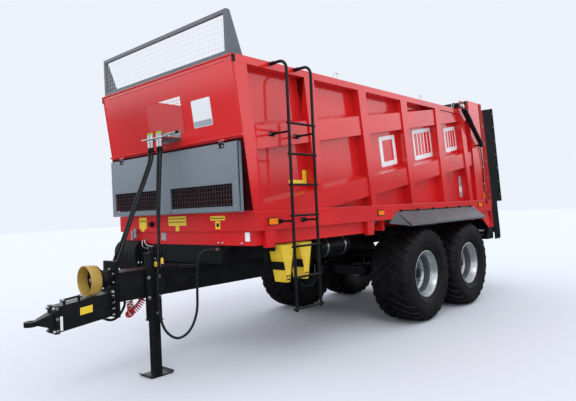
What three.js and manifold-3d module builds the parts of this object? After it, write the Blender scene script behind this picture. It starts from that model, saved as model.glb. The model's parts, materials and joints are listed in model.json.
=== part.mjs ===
// A tractor-drawn tandem-axle manure spreader, built as separate named parts.
//
// Units are millimetres, +Z is up and -Y is the drawbar end. Sizes are written in the
// machine frame, where Y = 0 is the front axle, X = 0 the centreline and Z = 0 the ground.
// Every part is moved along Y by ORIGIN_SHIFT at the end, so that the origin of the
// finished part is the bottom centre of its bounding box. Left is +X.

import * as THREE from 'three';
import { mergeVertices } from 'three/addons/utils/BufferGeometryUtils.js';
import Module from 'manifold-3d';

const wasm = await Module();
wasm.setup();

// ---------------------------------------------------------------- driving dimensions

const GAP = 0.3; // space left between parts that touch

// Wheels and axles
const TYRE_RADIUS = 616; // 550/60-22.5 flotation tyre, distance from axle to a tread flat
const TYRE_HALF_WIDTH = 275;
const RIM_RADIUS = 285.5;
const TYRE_SIDES = 24;
const RIM_SIDES = 16;
const WHEELBASE = 1320;
const WHEEL_X = 1005; // centre plane of a wheel
const AXLE_HALF_HEIGHT = 60;

// Bogie
const SPRING_X = 540;
const SPRING_HALF_WIDTH = 40;
const BOGIE_Y = WHEELBASE / 2;
const BOGIE_Z = 805;
const BOGIE_SHAFT_RADIUS = 45;

// Body
const WALL_OUT = 1130; // outer face of the wall posts
const BEAM_OUT = 1155; // outer face of the beams under the walls
const BEAM_IN = 1000;
const SHEET_OUT = 1020; // outer face of the wall sheet between the posts
const SHEET_IN = 1014;
const RIB_OUT = 1112; // face of the pressed ribs
const FRAME_BOTTOM = 1222;
const BEAM_BOTTOM = 1355;
const BEAM_TOP = 1534;
const WALL_TOP = 2936;
const RAIL_DEPTH = 70;
const FRONT_Y = -2972; // front wall at the height of BEAM_TOP
const FRONT_LEAN = 0.127; // how far the front wall leans forward per unit of height
const REAR_BEAM_Y = 2495;
const REAR_LEAN = 0.153;
const COLUMN_TOP = 3110;
const DECK_TOP = 1450;

// Chassis and drawbar
const RAIL_IN = 395;
const RAIL_OUT = 480;
const RAIL_BOTTOM = 1030.3;
const RAIL_TOP = FRAME_BOTTOM - GAP;
const CHASSIS_FRONT_Y = -2955;
const CHASSIS_REAR_Y = 2440;
const DRAWBAR_HALF_WIDTH = 120;
const DRAWBAR_BOTTOM = 760;
const DRAWBAR_TOP = 1030;
const DRAWBAR_FRONT_Y = -3750;
const DRIVE_Z = 980;
const SHIELD_Y = -4015; // mouth of the drive shaft's guard
const JACK_X = 95;
const JACK_Y = -3370;
const EYE_Y = -4490;
const EYE_Z = 690;
const EYE_RADIUS = 52;

// Front fittings
const FLAP_Y = -3088; // centre plane of the front flap
const FLAP_TOP = 2170;
const FLAP_BOTTOM = 1537;
const RACK_Z = 2300;
const LADDER_X = 1335;
const LADDER_TUBE = 15;
const LADDER_FRONT_Y = -2674;
const LADDER_REAR_Y = -2327;
const FIRST_RUNG_Z = 628;
const RUNG_PITCH = 284;
const RUNG_COUNT = 7;

// Rear unit
const SIDE_MAX = LADDER_X + LADDER_TUBE; // widest point of the machine, on both sides
const BEATER_X = 505;
const BEATER_Y = 2990; // beater centre line at the height BEATER_Z
const BEATER_Z = 1500;
const BEATER_LEAN = 0.145;
const REAR_Y = 3450;
const LIFT_Y = 1640;
const LIFT_Z = 3045;
const LIFT_TUBE = 30;
const CYLINDER_X = 1195;
const CYLINDER_FOOT = [2110, 2420]; // y, z of the cylinder's lower pin
const CRANK_PIN = [1450, 2975]; // y, z of the crank pin at rest

const FRONT_END_Y = EYE_Y - EYE_RADIUS;
const ORIGIN_SHIFT = -(FRONT_END_Y + REAR_Y) / 2;

// Colours
const RED = 0xcc1d20;
const BLACK = 0x16181b;
const DARK = 0x33383d;
const GREY = 0x6c7880;
const SLATE = 0x4b565e;
const STEEL = 0xb9bec4;
const YELLOW = 0xd8b018;
const OCHRE = 0xb48a2c;
const RUBBER = 0x17181a;

const assembly = new THREE.Group();
assembly.name = 'manure_spreader';

// ---------------------------------------------------------------- solid tools

function vec(x, y, z) {
  return new THREE.Vector3(x, y, z);
}

function toManifold(geometry) {
  const merged = outward(mergeVertices(bareCopy(geometry), 1e-3));
  return new wasm.Manifold(new wasm.Mesh({
    numProp: 3,
    vertProperties: new Float32Array(merged.attributes.position.array),
    triVerts: new Uint32Array(merged.index.array),
  }));
}

function fromManifold(solid) {
  const mesh = solid.getMesh();
  const geometry = new THREE.BufferGeometry();
  geometry.setAttribute('position', new THREE.BufferAttribute(new Float32Array(mesh.vertProperties), 3));
  geometry.setIndex(new THREE.BufferAttribute(new Uint32Array(mesh.triVerts), 1));
  return geometry;
}

function union(...pieces) {
  const solids = pieces.flat().map(toManifold);
  return fromManifold(solids.reduce((sum, solid) => sum.add(solid)));
}

function cut(body, ...tools) {
  const solids = tools.flat().map(toManifold);
  return fromManifold(solids.reduce((rest, solid) => rest.subtract(solid), toManifold(body)));
}

// The separate closed bodies of a geometry.
function splitBodies(geometry) {
  return toManifold(geometry).decompose().map(fromManifold);
}

function block(x0, x1, y0, y1, z0, z1) {
  const geometry = new THREE.BoxGeometry(x1 - x0, y1 - y0, z1 - z0);
  return geometry.translate((x0 + x1) / 2, (y0 + y1) / 2, (z0 + z1) / 2);
}

function extrude(points, depth) {
  const shape = new THREE.Shape(points.map(([a, b]) => new THREE.Vector2(a, b)));
  return new THREE.ExtrudeGeometry(shape, { depth, bevelEnabled: false });
}

// A flat outline given as [y, z] pairs, made solid from x0 to x1.
function prismX(points, x0, x1) {
  const turn = new THREE.Matrix4().makeBasis(vec(0, 1, 0), vec(0, 0, 1), vec(1, 0, 0));
  return extrude(points, x1 - x0).applyMatrix4(turn).translate(x0, 0, 0);
}

// A flat outline given as [x, z] pairs, made solid from y0 to y1.
function prismY(points, y0, y1) {
  const turn = new THREE.Matrix4().makeBasis(vec(1, 0, 0), vec(0, 0, 1), vec(0, -1, 0));
  return extrude(points, y1 - y0).applyMatrix4(turn).translate(0, y1, 0);
}

// A flat outline given as [x, y] pairs, made solid from z0 to z1.
function prismZ(points, z0, z1) {
  return extrude(points, z1 - z0).translate(0, 0, z0);
}

// A round bar between two points.
function rod(from, to, radius, sides = 12) {
  const start = vec(...from);
  const along = vec(...to).sub(start);
  const geometry = new THREE.CylinderGeometry(radius, radius, along.length(), sides);
  geometry.translate(0, along.length() / 2, 0);
  const turn = new THREE.Quaternion().setFromUnitVectors(vec(0, 1, 0), along.clone().normalize());
  return geometry.applyQuaternion(turn).translate(start.x, start.y, start.z);
}

// A solid through a list of rings, each a list of [x, y, z] points in the same order.
function loft(rings) {
  const count = rings[0].length;
  const positions = rings.flat(2);
  const faces = [];
  for (let ring = 0; ring < rings.length - 1; ring += 1) {
    for (let side = 0; side < count; side += 1) {
      const a = ring * count + side;
      const b = ring * count + (side + 1) % count;
      faces.push(a, b, b + count);
      faces.push(a, b + count, a + count);
    }
  }
  const last = (rings.length - 1) * count;
  for (let side = 1; side < count - 1; side += 1) {
    faces.push(0, side + 1, side);
    faces.push(last, last + side, last + side + 1);
  }
  const geometry = new THREE.BufferGeometry();
  geometry.setAttribute('position', new THREE.Float32BufferAttribute(positions, 3));
  geometry.setIndex(faces);
  return outward(geometry);
}

// Turns a closed solid the right way out.
function outward(geometry) {
  const position = geometry.attributes.position;
  const index = geometry.index.array;
  let volume = 0;
  const corner = (i) => new THREE.Vector3().fromBufferAttribute(position, index[i]);
  for (let i = 0; i < index.length; i += 3) {
    volume += corner(i).dot(corner(i + 1).cross(corner(i + 2)));
  }
  if (volume < 0) {
    for (let i = 0; i < index.length; i += 3) {
      [index[i], index[i + 1]] = [index[i + 1], index[i]];
    }
  }
  return geometry;
}

// A rectangle of size sx by sy around (x, y) at height z, for lofting upwards.
function rectangle(x, y, z, sx, sy) {
  return [
    [x - sx / 2, y - sy / 2, z],
    [x + sx / 2, y - sy / 2, z],
    [x + sx / 2, y + sy / 2, z],
    [x - sx / 2, y + sy / 2, z],
  ];
}

// A hose or bent tube along a smooth curve through the points.
function tube(points, radius, sides = 8, steps = 24) {
  const path = new THREE.CatmullRomCurve3(points.map((p) => vec(...p)), false, 'centripetal');
  const circle = new THREE.Shape();
  for (let i = 0; i < sides; i += 1) {
    const angle = (2 * Math.PI * i) / sides;
    const place = [radius * Math.cos(angle), radius * Math.sin(angle)];
    if (i === 0) {
      circle.moveTo(...place);
    } else {
      circle.lineTo(...place);
    }
  }
  circle.closePath();
  return new THREE.ExtrudeGeometry(circle, { steps, extrudePath: path, bevelEnabled: false });
}

// A ring or disc turned about an axis through the origin: [radius, offset] pairs.
// The offset runs along +X, and a flat of the polygon faces straight down.
function turnedX(profile, sides, start = Math.PI / sides) {
  const points = profile.map(([radius, offset]) => new THREE.Vector2(radius, offset));
  const geometry = new THREE.LatheGeometry(points, sides);
  geometry.rotateY(start);
  const turn = new THREE.Matrix4().makeBasis(vec(0, 0, -1), vec(1, 0, 0), vec(0, -1, 0));
  return union(geometry.applyMatrix4(turn));
}

function turnedY(profile, sides) {
  const geometry = turnedX(profile, sides);
  return geometry.rotateZ(Math.PI / 2);
}

function mirrored(geometry) {
  const copy = geometry.clone().scale(-1, 1, 1);
  const index = copy.index.array;
  for (let i = 0; i < index.length; i += 3) {
    [index[i], index[i + 1]] = [index[i + 1], index[i]];
  }
  return copy;
}

function add(name, geometry, colour) {
  const placed = mergeVertices(bareCopy(geometry), 1e-3);
  placed.translate(0, ORIGIN_SHIFT, 0);
  placed.computeVertexNormals();
  const mesh = new THREE.Mesh(placed, new THREE.MeshStandardMaterial({ color: colour }));
  mesh.name = name;
  assembly.add(mesh);
}

function bareCopy(geometry) {
  const copy = geometry.clone();
  copy.deleteAttribute('normal');
  copy.deleteAttribute('uv');
  return copy;
}

// Adds NAME_left as given and NAME_right as its mirror image.
function addPair(name, geometry, colour) {
  const solid = geometry.index ? geometry : union(geometry);
  add(`${name}_left`, solid, colour);
  add(`${name}_right`, mirrored(solid), colour);
}

// ---------------------------------------------------------------- leaning surfaces

// Y of the front wall's outer face at height z.
function frontAt(z) {
  return FRONT_Y - FRONT_LEAN * (z - BEAM_TOP);
}

// Y of the rear edge of the body at height z.
function rearAt(z) {
  return 2579 - REAR_LEAN * (z - 1421);
}

function beaterAt(z) {
  return BEATER_Y - BEATER_LEAN * (z - BEATER_Z);
}

// ---------------------------------------------------------------- wheels

function tyre() {
  const round = 1 / Math.cos(Math.PI / TYRE_SIDES); // flats at the stated radius
  const half = TYRE_HALF_WIDTH;
  const side = [
    [286, 216], [308, 217.5], [400, half - 8], [500, half], [585, 244], [TYRE_RADIUS, 150],
  ];
  const other = side.map(([radius, offset]) => [radius, -offset]).reverse();
  const profile = [...side, ...other, side[0]];
  return turnedX(profile.map(([radius, offset]) => [radius * round, offset]), TYRE_SIDES);
}

function rim() {
  const bead = RIM_RADIUS - 0.5;
  const profile = [
    [0, 62], [72, 62], [78, 0], [232, -34], [262, -22], [271, 226], [303, 226], [303, 219],
    [bead, 219], [bead, -219], [303, -219], [303, -226], [271, -226], [262, -44], [48, -44],
    [48, 12], [0, 12],
  ];
  return turnedX(profile, RIM_SIDES);
}

function axle() {
  const beam = block(-820, 820, -AXLE_HALF_HEIGHT, AXLE_HALF_HEIGHT, -AXLE_HALF_HEIGHT, AXLE_HALF_HEIGHT);
  const drums = [-1, 1].map((side) => rod([side * 790, 0, 0], [side * 950, 0, 0], 190, 14));
  const spindles = rod([-1012, 0, 0], [1012, 0, 0], 42, 10);
  return union(beam, drums, spindles);
}

function addWheels() {
  const tyreSolid = tyre();
  const rimSolid = rim();
  const axleSolid = axle();
  for (const [place, y] of [['front', 0], ['rear', WHEELBASE]]) {
    for (const [hand, side] of [['left', 1], ['right', -1]]) {
      const turn = side > 0 ? (solid) => solid.clone() : mirrored;
      add(`tyre_${place}_${hand}`, turn(tyreSolid).translate(side * WHEEL_X, y, TYRE_RADIUS), RUBBER);
      add(`rim_${place}_${hand}`, turn(rimSolid).translate(side * WHEEL_X, y, TYRE_RADIUS), STEEL);
    }
    add(`axle_${place}`, axleSolid.clone().translate(0, y, TYRE_RADIUS), BLACK);
  }
}

// ---------------------------------------------------------------- bogie and chassis

function leafSpring() {
  const seat = TYRE_RADIUS + AXLE_HALF_HEIGHT + GAP;
  const end = 95;
  const leaves = prismX([
    [-end, seat], [end, seat], [BOGIE_Y, seat + 40], [WHEELBASE - end, seat], [WHEELBASE + end, seat],
    [WHEELBASE + end, seat + 22], [BOGIE_Y + 340, seat + 85], [BOGIE_Y - 340, seat + 85], [-end, seat + 22],
  ], SPRING_X - SPRING_HALF_WIDTH, SPRING_X + SPRING_HALF_WIDTH);
  const saddle = block(
    SPRING_X - SPRING_HALF_WIDTH, SPRING_X + SPRING_HALF_WIDTH,
    BOGIE_Y - 95, BOGIE_Y + 95, seat + 60, BOGIE_Z + 65,
  );
  const bore = rod([0, BOGIE_Y, BOGIE_Z], [SPRING_X + 200, BOGIE_Y, BOGIE_Z], BOGIE_SHAFT_RADIUS + 0.6, 20);
  return cut(union(leaves, saddle), bore);
}

function chassisFrame() {
  const rail = (side) => {
    const edges = [side * RAIL_IN, side * RAIL_OUT].sort((a, b) => a - b);
    const beam = block(...edges, CHASSIS_FRONT_Y + 60, CHASSIS_REAR_Y, RAIL_BOTTOM, RAIL_TOP);
    const hanger = prismX([
      [BOGIE_Y - 260, RAIL_BOTTOM + 10], [BOGIE_Y - 75, BOGIE_Z - 70],
      [BOGIE_Y + 75, BOGIE_Z - 70], [BOGIE_Y + 260, RAIL_BOTTOM + 10],
    ], ...edges);
    return [beam, hanger];
  };
  const crossMembers = [-2100, -1100, -100, 1420, 2300].map(
    (y) => block(-RAIL_IN - 10, RAIL_IN + 10, y - 40, y + 40, RAIL_BOTTOM + 20, RAIL_TOP - 20),
  );
  const headWidth = 650;
  const round = 45;
  const head = prismY([
    [-headWidth, 1040 + round], [-headWidth + round, 1040], [headWidth - round, 1040],
    [headWidth, 1040 + round], [headWidth, RAIL_TOP - round], [headWidth - round, RAIL_TOP],
    [-headWidth + round, RAIL_TOP], [-headWidth, RAIL_TOP - round],
  ], CHASSIS_FRONT_Y, CHASSIS_FRONT_Y + 170);
  const feet = [-2830, -1900].map(
    (y) => block(-RAIL_IN - 10, RAIL_IN + 10, y - 50, y + 50, RAIL_BOTTOM, RAIL_TOP - 40),
  );
  const shaft = rod([-600, BOGIE_Y, BOGIE_Z], [600, BOGIE_Y, BOGIE_Z], BOGIE_SHAFT_RADIUS, 20);
  const rearPanel = block(-1094, 1094, CHASSIS_REAR_Y - 16, CHASSIS_REAR_Y - 10, 1040, RAIL_TOP);
  return union(rail(1), rail(-1), crossMembers, head, feet, shaft, rearPanel);
}

function addBogieAndChassis() {
  addPair('leaf_spring', leafSpring(), BLACK);
  add('chassis_frame', chassisFrame(), BLACK);
}

// ---------------------------------------------------------------- drawbar and hitch

function drawbar() {
  const wall = 12;
  const rearY = -1650;
  const beam = block(
    -DRAWBAR_HALF_WIDTH, DRAWBAR_HALF_WIDTH, DRAWBAR_FRONT_Y, rearY, DRAWBAR_BOTTOM, DRAWBAR_TOP,
  );
  const hollow = block(
    -DRAWBAR_HALF_WIDTH + wall, DRAWBAR_HALF_WIDTH - wall,
    DRAWBAR_FRONT_Y + 5, rearY + 10, DRAWBAR_BOTTOM + wall, DRAWBAR_TOP - wall,
  );
  const frontPlate = prismY([
    [-118, 620], [118, 620], [118, 900], [108, 1135], [-108, 1135], [-118, 900],
  ], DRAWBAR_FRONT_Y - 20, DRAWBAR_FRONT_Y + 10);
  const knees = [-1, 1].map((side) => prismZ([
    [side * 112, -3080], [side * 112, -2560], [side * 470, -2560], [side * 470, -2640],
  ], 1000, DRAWBAR_TOP));
  const coilBracket = block(-245, -110, -3520, -3440, 790, 800);
  const shaftWay = rod([0, DRAWBAR_FRONT_Y - 40, DRIVE_Z], [0, DRAWBAR_FRONT_Y + 30, DRIVE_Z], 62, 20);
  const jackNotch = block(35, 200, JACK_Y - 60, JACK_Y + 60, DRAWBAR_BOTTOM - 20, DRAWBAR_TOP + 20);
  return cut(
    union(beam, frontPlate, knees, coilBracket), hollow, shaftWay, jackNotch,
  );
}

function hitchArm() {
  const rearY = DRAWBAR_FRONT_Y - 20 - GAP;
  const flange = block(-112, 112, rearY - 22, rearY, 630, 872);
  const arm = loft([
    [[-78, rearY - 10, 640], [78, rearY - 10, 640], [78, rearY - 10, 858], [-78, rearY - 10, 858]],
    [[-70, -4290, 585], [70, -4290, 585], [70, -4290, 805], [-70, -4290, 805]],
  ]);
  const ribs = [668, 718, 768, 818].map((z) => block(-108, 108, rearY - 60, rearY - 10, z, z + 10));
  const nose = block(-76, 76, -4318, -4280, 575, 812);
  const topBar = rod([40, -4240, 848], [40, -4072, 864], 11, 8);
  const posts = [[-4222, 790, 846], [-4090, 800, 858]].map(
    ([y, z0, z1]) => block(32, 48, y - 10, y + 10, z0, z1),
  );
  return union(flange, arm, ribs, nose, topBar, posts);
}

function hitchEye() {
  const rootY = -4318 - GAP;
  const shank = loft([
    [[-62, rootY, EYE_Z - 62], [62, rootY, EYE_Z - 62], [62, rootY, EYE_Z + 62], [-62, rootY, EYE_Z + 62]],
    [[-62, rootY - 16, EYE_Z - 62], [62, rootY - 16, EYE_Z - 62], [62, rootY - 16, EYE_Z + 62],
      [-62, rootY - 16, EYE_Z + 62]],
    [[-26, EYE_Y + 38, EYE_Z - 20], [26, EYE_Y + 38, EYE_Z - 20], [26, EYE_Y + 38, EYE_Z + 20],
      [-26, EYE_Y + 38, EYE_Z + 20]],
  ]);
  const ring = rod([0, EYE_Y, EYE_Z - 21], [0, EYE_Y, EYE_Z + 21], EYE_RADIUS, 24);
  const hole = rod([0, EYE_Y, EYE_Z - 40], [0, EYE_Y, EYE_Z + 40], 25, 24);
  return cut(union(shank, ring), hole);
}

function jackMast() {
  const outer = block(JACK_X - 55, JACK_X + 55, JACK_Y - 55, JACK_Y + 55, 520, 1180);
  const inner = block(JACK_X - 47, JACK_X + 47, JACK_Y - 47, JACK_Y + 47, 500, 1165);
  const flange = block(JACK_X + 40, JACK_X + 58, JACK_Y - 105, JACK_Y + 105, 765, 1028);
  const stem = rod([JACK_X, JACK_Y, 1170], [JACK_X, JACK_Y, 1212], 22, 10);
  return cut(union(outer, flange, stem), inner);
}

function jackLeg() {
  const leg = block(JACK_X - 40, JACK_X + 40, JACK_Y - 40, JACK_Y + 40, 6, 730);
  const plate = prismX([
    [JACK_Y - 110, 0], [JACK_Y + 110, 0], [JACK_Y + 135, 22], [JACK_Y + 130, 30],
    [JACK_Y + 104, 12], [JACK_Y - 104, 12], [JACK_Y - 130, 30], [JACK_Y - 135, 22],
  ], JACK_X - 100, JACK_X + 100);
  return union(leg, plate);
}

// A flared ring round the end of the drive shaft, open at the front.
function ptoShield() {
  const profile = [[138, 0], [128, 121], [122, 121], [131, 0]];
  return turnedY([...profile, profile[0]], 24).translate(0, SHIELD_Y, DRIVE_Z);
}

// The bell that carries the ring, narrowing towards the drawbar's flange.
function shieldBell() {
  const profile = [[121, 110], [121, 120], [80, 136], [70, 238], [62, 238], [72, 128], [114, 110]];
  return turnedY([...profile, profile[0]], 24).translate(0, SHIELD_Y, DRIVE_Z);
}

function driveLine() {
  return union(
    rod([0, SHIELD_Y + 50, DRIVE_Z], [0, -3830, DRIVE_Z], 17.5, 12),
    rod([0, -3840, DRIVE_Z], [0, -3560, DRIVE_Z], 30, 16),
    rod([0, -3570, DRIVE_Z], [0, 2757, DRIVE_Z], 26, 12),
    rod([0, -1500, DRIVE_Z], [0, -1400, DRIVE_Z], 42, 12),
    rod([0, 2620, DRIVE_Z], [0, 2720, DRIVE_Z], 42, 12),
  );
}

function addDrawbarParts() {
  add('drawbar_beam', drawbar(), BLACK);
  add('hitch_arm', hitchArm(), BLACK);
  add('hitch_eye', hitchEye(), DARK);
  add('jack_mast', jackMast(), BLACK);
  add('jack_leg', jackLeg(), BLACK);
  add('pto_shield', ptoShield(), OCHRE);
  add('shield_bell', shieldBell(), BLACK);
  add('drive_line', driveLine(), DARK);
}

// ---------------------------------------------------------------- body

// Cross members of the lower frame. Those near the wheels stand between the tyres.
const CROSS_MEMBERS = [-2300, -1500, -700, 660, 2000];

function lowerFrame() {
  const top = BEAM_BOTTOM - GAP;
  const frontStrip = block(-1100, 1100, -2950, -2890, FRAME_BOTTOM, top);
  const rearStrip = block(-1095, 1095, 2370, 2430, FRAME_BOTTOM, FRAME_BOTTOM + 75);
  const sides = [-1, 1].map((side) => {
    const edges = [side * 1040, side * 1095].sort((a, b) => a - b);
    return block(...edges, -2895, -1060, FRAME_BOTTOM, top);
  });
  const spine = [-1, 1].map((side) => {
    const edges = [side * RAIL_IN, side * RAIL_OUT].sort((a, b) => a - b);
    return block(...edges, -2895, 2375, FRAME_BOTTOM, FRAME_BOTTOM + 68);
  });
  const crossMembers = CROSS_MEMBERS.map(
    (y) => block(-1050, 1050, y - 30, y + 30, FRAME_BOTTOM, FRAME_BOTTOM + 68),
  );
  const pads = [-700, 660, 2000].flatMap((y) => [-1, 1].map((side) => {
    const edges = [side * 1000, side * 1050].sort((a, b) => a - b);
    return block(...edges, y - 30, y + 30, FRAME_BOTTOM, top);
  }));
  return union(frontStrip, rearStrip, sides, spine, crossMembers, pads);
}

function floorDeck() {
  const plate = block(-BEAM_IN + GAP, BEAM_IN - GAP, -2680, 2300, DECK_TOP - 8, DECK_TOP);
  const stringers = [-640, -250, 250, 640].map(
    (x) => block(x - 20, x + 20, -2640, 2260, FRAME_BOTTOM + 68 + GAP, DECK_TOP - 4),
  );
  return union(plate, stringers);
}

function sideBeam() {
  const frontY = FRONT_Y + 92 + GAP;
  const beam = block(BEAM_IN, BEAM_OUT, frontY, REAR_BEAM_Y, BEAM_BOTTOM, BEAM_TOP);
  const brackets = [[-2849, -2706], [-1189, -1036]].map(([y0, y1]) => prismX([
    [y0, BEAM_BOTTOM + 5], [y0 + 12, 1196], [y1 - 26, 1196], [y1, BEAM_BOTTOM + 5],
  ], 1098, BEAM_OUT - 8));
  const gusset = prismX([
    [2033, BEAM_BOTTOM + 5], [2440, 1082], [REAR_BEAM_Y, 1082], [REAR_BEAM_Y, BEAM_BOTTOM + 5],
  ], 1098, 1118);
  return union(beam, brackets, gusset);
}

function frontBeam() {
  return union(block(-BEAM_OUT, BEAM_OUT, FRONT_Y, FRONT_Y + 92, BEAM_BOTTOM, BEAM_TOP));
}

// One leaning post, wider at the top than at the beam.
function wallPost(topY, baseY) {
  const z0 = BEAM_TOP + GAP;
  const z1 = WALL_TOP - RAIL_DEPTH + 10;
  return prismX([
    [baseY - 56, z0], [baseY + 56, z0], [topY + 78, z1], [topY - 78, z1],
  ], SHEET_OUT - 3, WALL_OUT);
}

// One sloping rib with a chamfered upper edge, between two stations along the wall.
function wallRib(y0, y1, base) {
  const rise = 0.15;
  const height = 260;
  const ring = (y) => {
    const z = base + rise * y;
    return [
      [SHEET_OUT - 3, y, z - height], [RIB_OUT - 4, y, z - height], [RIB_OUT, y, z - height + 6],
      [RIB_OUT, y, z - 38], [SHEET_OUT - 3, y, z],
    ];
  };
  return loft([ring(y0), ring(y1)]);
}

function sideWall() {
  const z0 = BEAM_TOP + GAP;
  const skin = 6 + GAP; // the front wall stands in front of the side walls
  const frontLine = (z) => frontAt(z) + skin;
  const sheet = prismX([
    [frontLine(z0) + 20, z0], [2100, z0], [1960, WALL_TOP - 10], [frontLine(WALL_TOP) + 20, WALL_TOP - 10],
  ], SHEET_IN, SHEET_OUT);
  const rail = prismX([
    [frontLine(WALL_TOP - RAIL_DEPTH), WALL_TOP - RAIL_DEPTH], [1500, WALL_TOP - RAIL_DEPTH],
    [1900, WALL_TOP - RAIL_DEPTH], [1900, WALL_TOP], [frontLine(WALL_TOP), WALL_TOP],
  ], SHEET_IN, WALL_OUT);
  const cornerPost = prismX([
    [frontLine(z0) + 2, z0], [frontLine(z0) + 135, z0],
    [frontLine(WALL_TOP) + 160, WALL_TOP - 20], [frontLine(WALL_TOP - 20) + 2, WALL_TOP - 20],
  ], SHEET_IN, WALL_OUT - 2);
  const column = prismX([
    [1992, z0], [2497.5, z0], [2500, 1080], [2632, 1080], [rearAt(1421), 1421],
    [rearAt(COLUMN_TOP), COLUMN_TOP], [1811, COLUMN_TOP],
  ], SHEET_IN, WALL_OUT);
  const postTops = [-2105, -1154, -203, 748, 1560];
  const postBases = [-1990, -985, -40, 895, 1780];
  const posts = postTops.map((topY, i) => wallPost(topY, postBases[i]));
  const ribs = cut(
    union(wallRib(-2920, 2050, 2066), wallRib(-2960, 1900, 2788)),
    block(900, 1200, -3200, 2500, 1000, z0),
    block(900, 1200, -3200, 2500, WALL_TOP - RAIL_DEPTH + 20, 3300),
  );
  const bearing = prismX([
    [LIFT_Y - 75, WALL_TOP - 20], [LIFT_Y + 75, WALL_TOP - 20],
    [LIFT_Y + 45, LIFT_Z + 45], [LIFT_Y - 45, LIFT_Z + 45],
  ], 1080, 1100);
  const holeRadius = (LIFT_TUBE + 0.6) / Math.cos(Math.PI / 16); // clear of the bar at every angle
  const bearingHole = rod([1060, LIFT_Y, LIFT_Z], [1120, LIFT_Y, LIFT_Z], holeRadius, 16);
  return union(sheet, rail, cornerPost, column, posts, splitBodies(ribs), cut(bearing, bearingHole));
}

function frontWall() {
  const z0 = BEAM_TOP + GAP;
  const leaning = (bottom, top, near, far, halfWidth) => prismX([
    [frontAt(bottom) + near, bottom], [frontAt(bottom) + far, bottom],
    [frontAt(top) + far, top], [frontAt(top) + near, top],
  ], -halfWidth, halfWidth);
  const plate = leaning(z0, WALL_TOP, 0, 6, WALL_OUT);
  const headRail = block(-SHEET_IN + 1, SHEET_IN - 1, frontAt(WALL_TOP) + 2, -3090, 2886, WALL_TOP);
  const ledge = leaning(2215, 2235, -22, 3, WALL_OUT);
  const ribs = [1640, 1710, 1780].map((z) => leaning(z, z + 28, -24, 3, 1000));
  const knuckles = [-860, 870].map((x) => block(x - 45, x + 45, FLAP_Y - 4, -3040, 2188, 2205));
  const window = block(-290, 310, -3300, -2900, 2330, 2700);
  return cut(union(plate, headRail, ledge, ribs, knuckles), window);
}

function windowMesh() {
  const lean = (z) => frontAt(z) + 2;
  const [x0, x1, z0, z1] = [-290 + GAP, 310 - GAP, 2330 + GAP, 2700 - GAP];
  return union(prismX([
    [lean(z0), z0], [lean(z0) + 3, z0], [lean(z1) + 3, z1], [lean(z1), z1],
  ], x0, x1));
}

const SCREEN_Y = -3150;
const SCREEN_BOTTOM = WALL_TOP + GAP;
const SCREEN_TOP = 3345;
const SCREEN_HALF = 1070;
const SCREEN_BAR = 35;

function headboardFrame() {
  const outer = block(-SCREEN_HALF, SCREEN_HALF, SCREEN_Y, SCREEN_Y + 30, SCREEN_BOTTOM, SCREEN_TOP);
  const inner = block(
    -SCREEN_HALF + SCREEN_BAR, SCREEN_HALF - SCREEN_BAR, SCREEN_Y - 10, SCREEN_Y + 40,
    SCREEN_BOTTOM + SCREEN_BAR, SCREEN_TOP - SCREEN_BAR,
  );
  const cheeks = [-SCREEN_HALF, SCREEN_HALF - 6].map((x) => prismX([
    [SCREEN_Y + 5, SCREEN_BOTTOM], [-2962, SCREEN_BOTTOM], [-2968, SCREEN_BOTTOM + 26],
    [-3104, SCREEN_TOP], [SCREEN_Y + 5, SCREEN_TOP],
  ], x, x + 6));
  return union(cut(outer, inner), cheeks);
}

function headboardMesh() {
  const half = SCREEN_HALF - SCREEN_BAR - GAP;
  return union(block(
    -half, half, SCREEN_Y + 12, SCREEN_Y + 16,
    SCREEN_BOTTOM + SCREEN_BAR + GAP, SCREEN_TOP - SCREEN_BAR - GAP,
  ));
}

function frontFlap() {
  const half = 1086;
  const plate = block(-half, half, FLAP_Y - 9, FLAP_Y + 9, FLAP_BOTTOM, FLAP_TOP);
  const windows = [[-1022, -160], [54, 1002]].map(
    ([x0, x1]) => block(x0, x1, FLAP_Y - 20, FLAP_Y + 20, 1588, 1800),
  );
  const tabs = [-860, 870].map((x) => block(x - 30, x + 30, FLAP_Y - 9, FLAP_Y + 9, FLAP_TOP - 5, FLAP_TOP + 12));
  const latch = block(-75, 60, FLAP_Y - 26, FLAP_Y - 5, 1545, 1572);
  return union(cut(plate, windows), tabs, latch);
}

function flapMesh() {
  const y = FLAP_Y + 9 + GAP;
  return union(block(-1050, 1030, y, y + 3, 1565, 1822));
}

function addBody() {
  add('lower_frame', lowerFrame(), RED);
  add('floor_deck', floorDeck(), RED);
  addPair('side_beam', sideBeam(), RED);
  add('front_beam', frontBeam(), RED);
  addPair('side_wall', sideWall(), RED);
  add('front_wall', frontWall(), RED);
  add('window_mesh', windowMesh(), DARK);
  add('headboard_frame', headboardFrame(), SLATE);
  add('headboard_mesh', headboardMesh(), SLATE);
  add('front_flap', frontFlap(), GREY);
  add('flap_mesh', flapMesh(), DARK);
}

// ---------------------------------------------------------------- floor conveyor

const CHAIN_Z = 1395;
const CHAIN_RADIUS = 75; // to the inside of the chain
const CHAIN_FRONT_Y = -2790;
const CHAIN_REAR_Y = 2430;

function racetrack(radius) {
  const points = [];
  const turns = 6;
  for (let i = 0; i <= turns; i += 1) {
    const angle = -Math.PI / 2 + (Math.PI * i) / turns;
    points.push([CHAIN_REAR_Y + radius * Math.cos(angle), CHAIN_Z + radius * Math.sin(angle)]);
  }
  for (let i = 0; i <= turns; i += 1) {
    const angle = Math.PI / 2 + (Math.PI * i) / turns;
    points.push([CHAIN_FRONT_Y + radius * Math.cos(angle), CHAIN_Z + radius * Math.sin(angle)]);
  }
  return points;
}

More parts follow.
